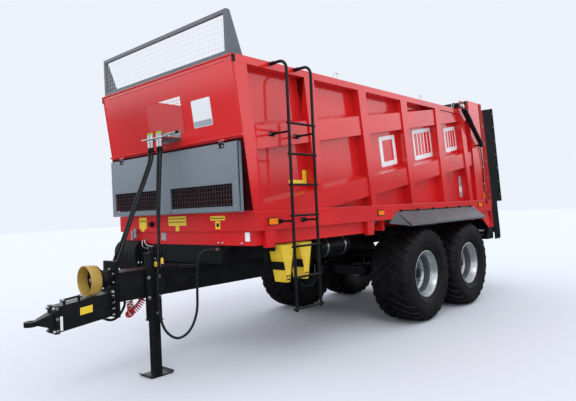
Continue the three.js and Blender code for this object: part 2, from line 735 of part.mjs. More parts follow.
function floorChain() {
  const strands = [-500, 500].map((x) => cut(
    prismX(racetrack(CHAIN_RADIUS), x - 16, x + 16),
    prismX(racetrack(CHAIN_RADIUS - 12), x - 30, x + 30),
  ));
  const slats = [];
  const slatCount = 13;
  for (let i = 0; i < slatCount; i += 1) {
    const y = -2600 + (i * 4800) / (slatCount - 1);
    slats.push(block(-960, 960, y - 20, y + 20, CHAIN_Z + CHAIN_RADIUS - 4, CHAIN_Z + CHAIN_RADIUS + 26));
  }
  return union(strands, slats);
}

function chainShaft(y) {
  const shaft = rod([-985, y, CHAIN_Z], [985, y, CHAIN_Z], 28, 12);
  const sprockets = [-500, 500].map(
    (x) => rod([x - 14, y, CHAIN_Z], [x + 14, y, CHAIN_Z], CHAIN_RADIUS - 16, 12),
  );
  return union(shaft, sprockets);
}

function addConveyor() {
  add('floor_chain', floorChain(), DARK);
  add('chain_shaft_front', chainShaft(CHAIN_FRONT_Y), STEEL);
  add('chain_shaft_rear', chainShaft(CHAIN_REAR_Y), STEEL);
}

// ---------------------------------------------------------------- fittings on the body

function mudguard() {
  const [y0, y1] = [-545, 1735];
  const inner = BEAM_OUT + GAP;
  const sloped = prismY([
    [inner, 1449], [inner, 1441], [1343, 1284], [1343, 1262], [SIDE_MAX, 1262], [SIDE_MAX, 1290],
  ], y0, y1);
  const end = [
    [inner, 1448], [SIDE_MAX - 2, 1289], [SIDE_MAX - 2, 1264], [inner, 1275],
  ];
  const rearEnd = prismY(end, y1 - 6, y1);
  // The front end slopes forward and down to a corner beside the beam.
  const cornerY = y0 - 190;
  const frontEnd = [0, 10].map((step) => [
    [inner, y0 + step, 1446], [inner, cornerY + step, 1310], [SIDE_MAX - 2, y0 + step, 1266],
  ]);
  return union(sloped, loft(frontEnd), rearEnd);
}

function ladderRail(y) {
  const bend = 65;
  const topZ = WALL_TOP - 21;
  const points = [[LADDER_X, y, FIRST_RUNG_Z - 24]];
  points.push([LADDER_X, y, topZ - bend - 40]);
  for (let i = 0; i <= 4; i += 1) {
    const angle = (Math.PI / 2) * (i / 4);
    points.push([
      LADDER_X - bend * (1 - Math.cos(angle)), y, topZ - bend + bend * Math.sin(angle),
    ]);
  }
  points.push([WALL_OUT + GAP, y, topZ]);
  const shape = [];
  const sides = 8;
  for (let i = 0; i < points.length; i += 1) {
    const before = vec(...points[Math.max(i - 1, 0)]);
    const after = vec(...points[Math.min(i + 1, points.length - 1)]);
    const along = after.sub(before).normalize();
    const across = vec(0, 1, 0);
    const up = vec(0, 0, 0).crossVectors(along, across).normalize();
    const ring = [];
    for (let k = 0; k < sides; k += 1) {
      const angle = (2 * Math.PI * (k + 0.5)) / sides;
      const reach = LADDER_TUBE / Math.cos(Math.PI / sides);
      const offset = across.clone().multiplyScalar(reach * Math.cos(angle));
      offset.add(up.clone().multiplyScalar(reach * Math.sin(angle)));
      ring.push([points[i][0] + offset.x, points[i][1] + offset.y, points[i][2] + offset.z]);
    }
    shape.push(ring);
  }
  return loft(shape);
}

function ladder() {
  const rails = [LADDER_FRONT_Y, LADDER_REAR_Y].map(ladderRail);
  const rungs = [];
  for (let i = 0; i < RUNG_COUNT; i += 1) {
    const z = FIRST_RUNG_Z + RUNG_PITCH * i;
    const reach = i === 0 ? 36 : 27;
    rungs.push(rod([LADDER_X, LADDER_FRONT_Y - reach, z], [LADDER_X, LADDER_REAR_Y + reach, z], 12, 6));
  }
  const standOffs = [];
  for (const y of [LADDER_FRONT_Y, LADDER_REAR_Y]) {
    standOffs.push(rod([BEAM_OUT + GAP, y, 1432], [LADDER_X, y, 1432], 11, 6));
    standOffs.push(rod([RIB_OUT + GAP, y, 2255], [LADDER_X, y, 2255], 11, 6));
  }
  return union(rails, rungs, standOffs);
}

function couplingRack() {
  const shelf = block(-130, 240, -3290, frontAt(RACK_Z + 8) - GAP - 3, RACK_Z - 6, RACK_Z + 6);
  const backPlate = prismX([
    [frontAt(2272) - GAP - 6, 2272], [frontAt(2272) - GAP, 2272],
    [frontAt(2380) - GAP, 2380], [frontAt(2380) - GAP - 6, 2380],
  ], -130, 240);
  const couplers = HOSE_STARTS.map((x) => rod([x, HOSE_RACK_Y, RACK_Z - 85], [x, HOSE_RACK_Y, RACK_Z + 60], 16, 10));
  return union(shelf, backPlate, couplers);
}

// Chocks hang between sloping cradle plates below the left side beam.
const CHOCK_X = 1062;
const CHOCK_PLACES = [['front', -2560], ['rear', -2290]];
const CHOCK_TOP = 1212;
const CHOCK_TOE = 842;

function chockDepth(z) {
  return 46 + (200 - 46) * ((z - CHOCK_TOE) / (CHOCK_TOP - CHOCK_TOE));
}

function chock(y) {
  const outer = loft([
    rectangle(CHOCK_X, y, CHOCK_TOE, 150, chockDepth(CHOCK_TOE)),
    rectangle(CHOCK_X, y, CHOCK_TOP, 172, chockDepth(CHOCK_TOP)),
  ]);
  const hollow = loft([
    rectangle(CHOCK_X, y, CHOCK_TOE - 5, 134, chockDepth(CHOCK_TOE - 5) - 16),
    rectangle(CHOCK_X, y, CHOCK_TOP - 16, 156, chockDepth(CHOCK_TOP - 16) - 16),
  ]);
  return cut(outer, hollow);
}

function chockHolder() {
  const plates = [];
  for (const [, y] of CHOCK_PLACES) {
    for (const side of [-1, 1]) {
      const [z0, z1] = [965, 1045];
      const face = (z) => y + side * (chockDepth(z) / 2 + GAP);
      plates.push(prismX([
        [face(z0), z0], [face(z0) + side * 7, z0], [face(z1) + side * 7, z1], [face(z1), z1],
      ], 962, 1152));
    }
  }
  const back = block(958, 968, -2690, -2160, 960, FRAME_BOTTOM - GAP);
  const lug = block(964, 1090, -2690, -2670, 1150, FRAME_BOTTOM - GAP);
  return union(plates, back, lug);
}

function addFittings() {
  addPair('mudguard', mudguard(), SLATE);
  add('ladder', ladder(), DARK);
  add('coupling_rack', couplingRack(), STEEL);
  add('chock_holder', chockHolder(), DARK);
  for (const [place, y] of CHOCK_PLACES) {
    add(`wheel_chock_${place}`, chock(y), YELLOW);
  }
}

// ---------------------------------------------------------------- spreading unit

function spreaderFrame() {
  const deck = prismZ([
    [-1112, 2660], [1112, 2660], [1112, 2890], [900, 3380], [830, REAR_Y],
    [-830, REAR_Y], [-900, 3380], [-1112, 2890],
  ], 985, 1000);
  const gearBeam = block(-760, 760, 2950, 3130, 880, 990);
  const gearBox = block(-150, 150, 2760, 3160, 868, 992);
  const topBeam = block(-1112, 1112, 2600, 2800, 2965, 3060);
  const posts = [-1, 1].map((side) => {
    const edges = [side * 1072, side * 1112].sort((a, b) => a - b);
    return prismX([[2672, 990], [2772, 990], [2695, 3060], [2595, 3060]], ...edges);
  });
  const stays = [-1, 1].map((side) => {
    const edges = [side * 1030, side * 1085].sort((a, b) => a - b);
    return block(...edges, 2445, 2700, 880, 985.5);
  });
  const rearTie = block(-1085, 1085, 2445, 2500, 880, 960);
  const hangers = [-1, 1].map((side) => {
    const edges = [side * RAIL_IN, side * RAIL_OUT].sort((a, b) => a - b);
    return block(...edges, CHASSIS_REAR_Y + GAP, CHASSIS_REAR_Y + 50, 900, RAIL_TOP);
  });
  const way = rod([0, 2400, DRIVE_Z], [0, 2759, DRIVE_Z], 50, 12);
  return cut(union(deck, gearBeam, gearBox, topBeam, posts, stays, rearTie, hangers), way);
}

// A beater stands on its own leaning axis. It is built upright about the origin,
// then sheared to the lean of the spreading unit.
function beater() {
  const [z0, z1] = [1018, 2945];
  const core = rod([0, 0, z0], [0, 0, z1], 85, 10);
  const disc = rod([0, 0, z0 + 56], [0, 0, z0 + 70], 360, 18);
  const vanes = [];
  for (let i = 0; i < 4; i += 1) {
    const vane = block(70, 350, -5, 5, z0 + 60, z0 + 125);
    vanes.push(vane.rotateZ((Math.PI / 2) * i));
  }
  const rings = [];
  const turns = 3;
  const steps = 10;
  const [low, high] = [z0 + 240, z1 - 130];
  for (let i = 0; i <= turns * steps; i += 1) {
    const angle = (2 * Math.PI * i) / steps;
    const z = low + ((high - low) * i) / (turns * steps);
    const [c, s] = [Math.cos(angle), Math.sin(angle)];
    rings.push([[70 * c, 70 * s, z], [395 * c, 395 * s, z], [395 * c, 395 * s, z + 14], [70 * c, 70 * s, z + 14]]);
  }
  const solid = union(core, disc, vanes, loft(rings));
  const lean = new THREE.Matrix4().makeRotationX(Math.atan(BEATER_LEAN));
  const middle = (z0 + z1) / 2;
  solid.translate(0, 0, -middle);
  return solid.applyMatrix4(lean).translate(BEATER_X, beaterAt(middle), middle);
}

function guard() {
  return union(prismX([
    [2412, 3022], [2812, 3098], [3044, 1507], [2835, 1507], [2925, 920], [2900, 868],
    [2690, 868], [2664, 1075], [2610, 1421],
  ], 1112 + GAP, 1126));
}

function rearGate() {
  const near = (z) => rearAt(z) - 200;
  const [z0, z1] = [1502, 2945];
  const halfWidth = BEAM_IN - 4;
  const plate = prismX([
    [near(z0), z0], [near(z0) + 8, z0], [near(z1) + 8, z1], [near(z1), z1],
  ], -halfWidth, halfWidth);
  const rails = [1510, 2200, 2880].map((z) => block(-halfWidth, halfWidth, near(z) + 4, near(z) + 46, z, z + 50));
  const lugs = [-1, 1].map((side) => {
    const edges = [side * 940, side * 955].sort((a, b) => a - b);
    return block(...edges, near(z1) - 30, near(z1) + 46, z1 - 60, z1 + 85);
  });
  return union(plate, rails, lugs);
}

function gateLiftArm() {
  const tubeBar = rod([-1180, LIFT_Y, LIFT_Z], [1180, LIFT_Y, LIFT_Z], LIFT_TUBE, 12);
  const armEnd = [rearAt(2990) - 195, 2990];
  const parts = [];
  for (const side of [-1, 1]) {
    const arm = [side * 962, side * 976].sort((a, b) => a - b);
    parts.push(prismX([
      [LIFT_Y, LIFT_Z - 42], [armEnd[0], armEnd[1] - 26], [armEnd[0] + 30, armEnd[1]],
      [armEnd[0], armEnd[1] + 26], [LIFT_Y, LIFT_Z + 42], [LIFT_Y - 40, LIFT_Z],
    ], ...arm));
    const crank = [side * 1150, side * 1170].sort((a, b) => a - b);
    parts.push(prismX([
      [LIFT_Y + 34, LIFT_Z - 6], [LIFT_Y + 6, LIFT_Z + 40], [CRANK_PIN[0] - 12, CRANK_PIN[1] + 32],
      [CRANK_PIN[0] - 32, CRANK_PIN[1] - 14], [CRANK_PIN[0] + 12, CRANK_PIN[1] - 32],
    ], ...crank));
  }
  return union(tubeBar, parts);
}

// Unit vector from the cylinder's foot towards the crank pin, and the distance.
const STROKE_LINE = new THREE.Vector2(CRANK_PIN[0] - CYLINDER_FOOT[0], CRANK_PIN[1] - CYLINDER_FOOT[1]);
const STROKE_LENGTH = STROKE_LINE.length();
STROKE_LINE.normalize();

function onStroke(distance, x = CYLINDER_X) {
  return [x, CYLINDER_FOOT[0] + STROKE_LINE.x * distance, CYLINDER_FOOT[1] + STROKE_LINE.y * distance];
}

function cylinderBarrel() {
  const barrel = rod(onStroke(20), onStroke(560), 36, 14);
  const bore = rod(onStroke(150), onStroke(600), 18.5, 12);
  const eye = rod(onStroke(0, CYLINDER_X - 22), onStroke(0, CYLINDER_X + 22), 34, 12);
  const pin = rod(onStroke(0, WALL_OUT + GAP), onStroke(0, CYLINDER_X), 18, 10);
  return cut(union(barrel, eye, pin), bore);
}

function cylinderRod() {
  const bar = rod(onStroke(360), onStroke(STROKE_LENGTH), 18, 12);
  const eye = rod(onStroke(STROKE_LENGTH, 1170.6), onStroke(STROKE_LENGTH, CYLINDER_X + 20), 30, 12);
  return union(bar, eye);
}

function addSpreadingUnit() {
  add('spreader_frame', spreaderFrame(), BLACK);
  addPair('beater', beater(), RED);
  addPair('guard', guard(), BLACK);
  add('rear_gate', rearGate(), RED);
  add('gate_lift_arm', gateLiftArm(), BLACK);
  addPair('cylinder_barrel', cylinderBarrel(), BLACK);
  addPair('cylinder_rod', cylinderRod(), STEEL);
}

// ---------------------------------------------------------------- hoses

const HOSE_RADIUS = 13;
const HOSE_RACK_Y = -3255;
const HOSE_TOP = RACK_Z - 85 - GAP;
const HOSE_STARTS = [-45, 5, 105, 152];

const HOSES = {
  hose_left_a: [
    [-45, HOSE_RACK_Y, HOSE_TOP], [-45, HOSE_RACK_Y, 2160], [-46, -3275, 2060], [-52, -3340, 1900],
    [-50, -3475, 1600], [-75, -3590, 1300], [-124, -3650, 1120], [-150, -3640, 1000],
    [-156, -3575, 800], [-156, -3535, 690], [-150, -3598, 592], [-130, -3680, 562],
    [-100, -3755, 578], [-88, -3786, 600], [-88, -3786, 630 - GAP],
  ],
  hose_left_b: [
    [5, HOSE_RACK_Y, HOSE_TOP], [5, HOSE_RACK_Y, 2160], [4, -3275, 2060], [-2, -3340, 1900],
    [-4, -3475, 1600], [2, -3620, 1270], [0, -3690, 1110], [0, -3690, DRAWBAR_TOP + GAP],
  ],
  hose_mid: [
    [105, HOSE_RACK_Y, HOSE_TOP], [105, HOSE_RACK_Y, 2160], [112, -3280, 1900], [124, -3304, 1600],
    [104, -3292, 1250], [92, -3285, 1100], [92, -3285, DRAWBAR_TOP + GAP],
  ],
  hose_loop: [
    [152, HOSE_RACK_Y, HOSE_TOP], [152, HOSE_RACK_Y, 2160], [162, -3285, 1900], [174, -3318, 1600],
    [182, -3352, 1200], [192, -3378, 900], [194, -3374, 613], [222, -3336, 433], [280, -3242, 345],
    [340, -3138, 408], [400, -3092, 582], [432, -3098, 813], [458, -3100, 1040],
    [500, -3076, 1155], [560, -3030, 1182], [606, -2990, 1180], [606, CHASSIS_FRONT_Y - GAP, 1180],
  ],
};

const AIR_COIL = [
  [-10, -3432, DRAWBAR_BOTTOM - GAP], [-10, -3432, 722], [-18, -3478, 662], [-42, -3538, 612],
  [-95, -3530, 590], [-150, -3478, 598], [-196, -3452, 655], [-208, -3460, 730],
  [-208, -3460, 790 - GAP],
];

function addHoses() {
  const steps = { hose_left_a: 40, hose_left_b: 20, hose_mid: 18, hose_loop: 48 };
  for (const [name, points] of Object.entries(HOSES)) {
    add(name, tube(points, HOSE_RADIUS, 8, steps[name]), RUBBER);
  }
  add('air_coil', tube(AIR_COIL, 38, 10, 16), 0x9c1626);
}

addWheels();
addBogieAndChassis();
addDrawbarParts();
addBody();
addConveyor();
addFittings();
addSpreadingUnit();
addHoses();

export default assembly;
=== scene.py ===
"""Looks for a tractor-drawn tandem-axle manure spreader.

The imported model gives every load-bearing shape. This script adds smooth wheels, wire meshes, hoses,
bolts, labels, lamps and paint. Places are written in the machine frame, in metres: Y = 0 is the
front axle, X = 0 the centre line, Z = 0 the ground, +X the ladder side. SHIFT moves them to the row.
"""

import json
import math

import bmesh
import bpy
from mathutils import Matrix, Vector


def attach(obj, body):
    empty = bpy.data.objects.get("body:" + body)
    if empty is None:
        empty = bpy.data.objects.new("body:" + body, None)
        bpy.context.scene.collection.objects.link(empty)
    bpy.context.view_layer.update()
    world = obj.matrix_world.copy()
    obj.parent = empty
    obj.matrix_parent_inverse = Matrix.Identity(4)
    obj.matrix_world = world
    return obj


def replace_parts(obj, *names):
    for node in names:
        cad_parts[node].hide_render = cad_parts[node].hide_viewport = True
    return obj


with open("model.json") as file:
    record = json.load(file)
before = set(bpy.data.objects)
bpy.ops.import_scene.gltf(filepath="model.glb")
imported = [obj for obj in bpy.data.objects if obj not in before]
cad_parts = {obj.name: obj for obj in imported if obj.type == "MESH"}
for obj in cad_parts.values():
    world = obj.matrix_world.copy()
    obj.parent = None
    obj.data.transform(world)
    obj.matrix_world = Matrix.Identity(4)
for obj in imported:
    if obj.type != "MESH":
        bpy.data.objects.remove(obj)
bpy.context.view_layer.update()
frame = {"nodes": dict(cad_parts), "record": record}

# ---------------------------------------------------------------- driving dimensions

SHIFT = 0.546  # row-frame Y of the front axle
BODY = "body_and_chassis"
HANDS = (("left", 1), ("right", -1))
WALL_OUT = 1.130  # outer faces of the top rail, side beam, sheet and ribs
BEAM_OUT = 1.155
SHEET_OUT = 1.020
RIB_OUT = 1.112
WALL_TOP = 2.936
RAIL_Z = WALL_TOP - 0.021
FRONT_LEAN = 0.127  # how far each wall leans, per metre of height
REAR_LEAN = 0.153
POST_LEAN = 0.145
BEAM_FRONT = -2.972  # front faces of the front beam and of the strip below it
STRIP_FRONT = -2.950
BEAM_TOP = 1.534
FLAP_Y = -3.088
FLAP_FACE = FLAP_Y - 0.009
HINGE_XS = (-0.860, 0.870)  # the flap's two hinges
TYRE_RADIUS = 0.616
WHEEL_X = 1.005
WHEELBASE = 1.320
DRIVE_Z = 0.980
SHIELD_Y = -4.015
RACK_Z = 2.300
RACK_Y = -3.255
HOSE_XS = (-0.045, 0.005, 0.105, 0.152)
HOSE_RADIUS = 0.0125
JACK_X = 0.095
JACK_Y = -3.370
LADDER_X = 1.335
LADDER_YS = (-2.674, -2.327)
LADDER_MOUNTS = ((BEAM_OUT, 1.432), (RIB_OUT, 2.255))  # (x, z) where the stays meet the wall
FIRST_RUNG = 0.628
RUNG_PITCH = 0.284
RUNGS = 7
POST_TOPS = (-2.105, -1.154, -0.203, 0.748, 1.560)  # Y of the leaning wall posts at 2.86 and 1.55 m
POST_BASES = (-1.990, -0.985, -0.040, 0.895, 1.780)
BEATER_X = 0.505
BEATER_LEAN = 0.145


def at(x, y, z):
    """A point of the machine frame, in the row frame."""
    return Vector((x, y + SHIFT, z))


def front_at(z):
    """Machine Y of the front wall's outer face at a height."""
    return BEAM_FRONT - FRONT_LEAN * (z - BEAM_TOP)


def rear_at(z):
    """Machine Y of the side walls' leaning rear edge at a height."""
    return 2.579 - REAR_LEAN * (z - 1.421)


def beater_at(z):
    """Machine Y of the beaters' leaning axes at a height."""
    return 2.990 - BEATER_LEAN * (z - 1.5)


def around(count, start=0.0):
    """Evenly spaced angles of a full turn."""
    return [start + 2 * math.pi * k / count for k in range(count)]


# ---------------------------------------------------------------- camera

CAMERA_PLACE = (4.524, -5.703, 1.555)  # row frame
CAMERA_ANGLES = (42.204, 0.779, -2.587)  # yaw, pitch and roll in degrees
LENS = 32.79


def add_camera():
    """The camera of the photograph."""
    yaw, pitch, roll = (math.radians(angle) for angle in CAMERA_ANGLES)
    ahead = Vector((-math.sin(yaw) * math.cos(pitch), math.cos(yaw) * math.cos(pitch), math.sin(pitch)))
    level = Vector((math.cos(yaw), math.sin(yaw), 0))
    upright = level.cross(ahead)
    right = math.cos(roll) * level + math.sin(roll) * upright
    up = -math.sin(roll) * level + math.cos(roll) * upright
    turn = Matrix((right, up, -ahead)).transposed().to_4x4()
    data = bpy.data.cameras.new("camera")
    data.lens = LENS
    data.sensor_width = 36
    camera = bpy.data.objects.new("camera", data)
    camera.matrix_world = Matrix.Translation(CAMERA_PLACE) @ turn
    bpy.context.scene.collection.objects.link(camera)
    bpy.context.scene.camera = camera


add_camera()

# ---------------------------------------------------------------- materials

MATERIALS = {}


def add_node(tree, kind, values=None, feeds=None):
    """A shader node with its constants set and some inputs fed by other nodes."""
    node = tree.nodes.new(kind)
    for socket, value in (values or {}).items():
        node.inputs[socket].default_value = value
    for socket, output in (feeds or {}).items():
        tree.links.new(output, node.inputs[socket])
    return node


def add_ramp(tree, source, stops):
    """The colour output of a ramp through (position, colour) stops."""
    node = add_node(tree, "ShaderNodeValToRGB", feeds={"Fac": source})
    for i, (position, colour) in enumerate(stops):
        stop = node.color_ramp.elements[i] if i < 2 else node.color_ramp.elements.new(position)
        stop.position = position
        stop.color = (*colour, 1)
    return node.outputs["Color"]


def material(name, tones, grain, rough, bump, metal=0.0, coat=0.0, coat_rough=0.1, dust=0.0,
             dust_tone=(0.30, 0.25, 0.20), waves=0.0, specular=0.5):
    """A paint, metal or rubber: mottled colour, uneven roughness, two sizes of bump, dust on top faces."""
    mat = bpy.data.materials.new(name)
    mat.use_nodes = True
    tree = mat.node_tree
    shader = tree.nodes["Principled BSDF"]
    shader.inputs["Metallic"].default_value = metal
    shader.inputs["Coat Weight"].default_value = coat
    shader.inputs["Coat Roughness"].default_value = coat_rough
    shader.inputs["Specular IOR Level"].default_value = specular
    place = tree.nodes.new("ShaderNodeTexCoord").outputs["Object"]

    def noise(scale, detail):
        sizes = {"Scale": scale, "Detail": detail}
        return add_node(tree, "ShaderNodeTexNoise", sizes, {"Vector": place}).outputs["Fac"]

    def spread(source, low, high):
        limits = {"From Min": 0.3, "From Max": 0.7, "To Min": low, "To Max": high}
        return add_node(tree, "ShaderNodeMapRange", limits, {"Value": source}).outputs["Result"]

    colour = add_ramp(tree, noise(grain, 5), [
        (0.3 + 0.4 * i / (len(tones) - 1), tone) for i, tone in enumerate(tones)])
    if dust:
        normal = tree.nodes.new("ShaderNodeNewGeometry").outputs["Normal"]
        split = add_node(tree, "ShaderNodeSeparateXYZ", feeds={"Vector": normal})
        limits = {"From Min": 0.2, "From Max": 1.0, "To Max": dust}
        upward = add_node(tree, "ShaderNodeMapRange", limits, {"Value": split.outputs["Z"]})
        patches = spread(noise(grain * 2.3, 6), 0.3, 1.0)
        share = add_node(tree, "ShaderNodeMath", feeds={0: upward.outputs["Result"], 1: patches})
        share.operation = "MULTIPLY"
        mix = tree.nodes.new("ShaderNodeMix")
        mix.data_type = "RGBA"
        mix.inputs[7].default_value = (*dust_tone, 1)
        tree.links.new(share.outputs["Value"], mix.inputs[0])
        tree.links.new(colour, mix.inputs[6])
        colour = mix.outputs[2]
    tree.links.new(colour, shader.inputs["Base Color"])
    tree.links.new(spread(noise(grain * 1.7, 4), *rough), shader.inputs["Roughness"])
    normal = None
    for height, scale in (bump, (waves, 1.6)):
        if height:
            feeds = {"Height": noise(scale, 2)}
            if normal:
                feeds["Normal"] = normal
            relief = {"Strength": 0.6, "Distance": height}
            normal = add_node(tree, "ShaderNodeBump", relief, feeds).outputs["Normal"]
    if normal:
        tree.links.new(normal, shader.inputs["Normal"])
    MATERIALS[name] = mat


# name, tones, grain, roughness range, (bump height, bump scale), then metal and the named extras
material("red_paint", [(0.50, 0.006, 0.007), (0.62, 0.010, 0.011), (0.66, 0.014, 0.014)], 0.9,
         (0.32, 0.44), (0.00012, 240), coat=0.95, coat_rough=0.05, dust=0.04, waves=0.012, specular=0.22)
material("shaded_red", [(0.25, 0.002, 0.003), (0.32, 0.004, 0.005)], 1.4,
         (0.45, 0.58), (0.00012, 240), dust=0.03, specular=0.08)
material("black_paint", [(0.0035, 0.0038, 0.0048), (0.0055, 0.006, 0.0072), (0.009, 0.0095, 0.0115)], 7,
         (0.34, 0.48), (0.00015, 260), coat=0.03, dust=0.07, dust_tone=(0.05, 0.05, 0.055), specular=0.20)
# flap_shade: a near-black red that paints the shade behind the front flap and over the wall's ribs
material("flap_shade", [(0.030, 0.002, 0.003), (0.055, 0.003, 0.005)], 1.4,
         (0.50, 0.64), (0.00012, 240), dust=0.03, specular=0.06)
material("matt_black", [(0.004, 0.0045, 0.0055), (0.0075, 0.0085, 0.0105)], 7,
         (0.56, 0.70), (0.0002, 220), dust=0.05, dust_tone=(0.04, 0.04, 0.045), specular=0.06)
material("satin_slate", [(0.050, 0.053, 0.060), (0.072, 0.076, 0.086)], 5,
         (0.38, 0.50), (0.00015, 260), coat=0.10, dust=0.12, dust_tone=(0.14, 0.145, 0.16), specular=0.35)
material("slate_paint", [(0.075, 0.092, 0.108), (0.092, 0.112, 0.130)], 3,
         (0.35, 0.48), (0.00010, 240), coat=0.2, dust=0.08)
material("flap_sheet", [(0.135, 0.165, 0.190), (0.155, 0.188, 0.215)], 1.6,
         (0.38, 0.50), (0.00012, 320), coat=0.15, dust=0.05, waves=0.004)
material("wire_mesh", [(0.035, 0.037, 0.040), (0.07, 0.073, 0.08)], 40, (0.35, 0.5), (0.0001, 400), 0.6)
material("pale_wire", [(0.55, 0.57, 0.60), (0.72, 0.74, 0.77)], 40, (0.35, 0.5), (0.0001, 400), 0.2)
material("bare_steel", [(0.42, 0.43, 0.45), (0.58, 0.59, 0.61)], 14, (0.22, 0.38), (0.00008, 500), 0.95)
material("rim_silver", [(0.38, 0.41, 0.42), (0.50, 0.53, 0.54)], 9,
         (0.24, 0.36), (0.0001, 420), 0.55, coat=0.3, dust=0.06)
# rim_shade: a darker silver that paints the shade inside the rim well and on the disc
material("rim_shade", [(0.075, 0.092, 0.098), (0.125, 0.150, 0.158)], 9,
         (0.34, 0.46), (0.0001, 420), 0.35, dust=0.04)
material("tyre_rubber", [(0.0040, 0.0038, 0.0044), (0.0065, 0.0062, 0.0072), (0.011, 0.0105, 0.0120)], 9,
         (0.50, 0.66), (0.0006, 160), dust=0.05, dust_tone=(0.035, 0.034, 0.036), specular=0.18)
material("deck_boards", [(0.10, 0.07, 0.055), (0.20, 0.17, 0.15), (0.27, 0.24, 0.22)], 5,
         (0.5, 0.7), (0.0008, 60), 0.3, dust=0.4)
material("chain_steel", [(0.045, 0.042, 0.04), (0.09, 0.085, 0.08)], 12,
         (0.4, 0.6), (0.0005, 90), 0.7, dust=0.2)
material("yellow_plastic", [(0.66, 0.43, 0.015), (0.78, 0.54, 0.03)], 8,
         (0.36, 0.5), (0.0003, 180), dust=0.08)
material("ochre_plastic", [(0.36, 0.22, 0.035), (0.50, 0.33, 0.07)], 6,
         (0.4, 0.55), (0.0004, 120), dust=0.1)
material("black_plastic", [(0.004, 0.004, 0.005), (0.009, 0.009, 0.011)], 15,
         (0.4, 0.6), (0.0003, 200), specular=0.22)
material("hose_rubber", [(0.005, 0.006, 0.008), (0.011, 0.012, 0.015)], 30,
         (0.42, 0.60), (0.0004, 300), specular=0.28)
material("red_hose", [(0.44, 0.010, 0.012), (0.60, 0.02, 0.02)], 12, (0.22, 0.34), (0.0001, 200), coat=0.3)
for label, label_tones, label_grain in (
        ("yellow", [(0.78, 0.52, 0.02), (0.86, 0.62, 0.04)], 5),
        ("white", [(0.70, 0.71, 0.72), (0.80, 0.81, 0.82)], 4),
        ("grey", [(0.30, 0.32, 0.34), (0.38, 0.40, 0.42)], 4)):
    material(f"label_{label}", label_tones, label_grain, (0.3, 0.42), (0.00004, 300), coat=0.3)
material("amber_lens", [(0.75, 0.16, 0.004), (0.95, 0.28, 0.01)], 30, (0.12, 0.22), (0.0008, 260), coat=0.8)
material("red_lens", [(0.40, 0.004, 0.004), (0.60, 0.01, 0.01)], 30, (0.12, 0.22), (0.0008, 260), coat=0.8)
material("cap_green", [(0.25, 0.36, 0.02), (0.36, 0.46, 0.05)], 20, (0.35, 0.5), (0.0002, 200))

# ---------------------------------------------------------------- mesh tools

BOX_FACES = [(0, 2, 3, 1), (4, 5, 7, 6), (0, 1, 5, 4), (2, 6, 7, 3), (0, 4, 6, 2), (1, 3, 7, 5)]
SLAB_FACES = [(3, 2, 1, 0), (4, 5, 6, 7), (0, 1, 5, 4), (1, 2, 6, 5), (2, 3, 7, 6), (3, 0, 4, 7)]


def soften(obj, width, angle):
    """Rounds the edges that are sharper than angle."""
    edge = obj.modifiers.new("soft_edge", "BEVEL")
    edge.width = width
    edge.segments = 2
    edge.limit_method = "ANGLE"
    edge.angle_limit = math.radians(angle)
    return edge


def finish_piece(obj, slot, body, look=None, smooth=None, bevel=0.0):
    """Gives a piece its material, soft edges and body."""
    bpy.context.scene.collection.objects.link(obj)
    obj.data.materials.append(MATERIALS[look or slot])
    if bevel:
        soften(obj, bevel, 38).harden_normals = True
    if smooth or bevel:
        obj.data.shade_smooth()
        if smooth:
            obj.data.set_sharp_from_angle(angle=math.radians(smooth))
    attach(obj, body)
    return obj


def mesh_piece(name, solids, slot, body=BODY, **finish):
    """One object from a list of (points, faces) solids, in the row frame."""
    points, faces = [], []
    for some_points, some_faces in solids:
        start = len(points)
        points.extend(some_points)
        faces.extend([[start + i for i in face] for face in some_faces])
    mesh = bpy.data.meshes.new(name)
    mesh.from_pydata(points, [], faces)
    shell = bmesh.new()
    shell.from_mesh(mesh)
    bmesh.ops.recalc_face_normals(shell, faces=shell.faces)
    shell.to_mesh(mesh)
    shell.free()
    return finish_piece(bpy.data.objects.new(name, mesh), slot, body, **finish)


def tube_piece(name, routes, radius, slot, body=BODY, look=None, sides=4):
    """Round tubes along routes of row-frame points, as one curve object."""
    curve = bpy.data.curves.new(name, "CURVE")
    curve.dimensions = "3D"
    curve.bevel_depth = radius
    curve.bevel_resolution = sides
    curve.use_fill_caps = True
    for route in routes:
        spline = curve.splines.new("POLY")
        spline.points.add(len(route) - 1)
        for point, place in zip(spline.points, route):
            point.co = (*place, 1)
        spline.use_smooth = True
    return finish_piece(bpy.data.objects.new(name, curve), slot, body, look=look)


def moved(solid, matrix):
    points, faces = solid
    return [matrix @ Vector(p) for p in points], faces


def box_solid(x0, x1, y0, y1, z0, z1):
    points = [at(x, y, z) for z in (z0, z1) for y in (y0, y1) for x in (x0, x1)]
    return points, BOX_FACES


def block_at(x, y, z, half_x, half_y, half_z):
    """A box from its middle and its half sizes."""
    return box_solid(x - half_x, x + half_x, y - half_y, y + half_y, z - half_z, z + half_z)


def bar_solid(start, end, half):
    """A square bar between two row-frame points."""
    along = (end - start).normalized()
    side = along.cross(Vector((0, 0, 1)) if abs(along.z) < 0.9 else Vector((1, 0, 0))).normalized() * half
    rise = along.cross(side).normalized() * half
    corners = [(-side - rise), (side - rise), (-side + rise), (side + rise)]
    return [p + c for p in (start, end) for c in corners], BOX_FACES


def slab(corners, thick):
    """A four-cornered plate whose top lies thick above its corners."""
    low = [Vector(corner) for corner in corners]
    return low + [corner + Vector((0, 0, thick)) for corner in low], SLAB_FACES


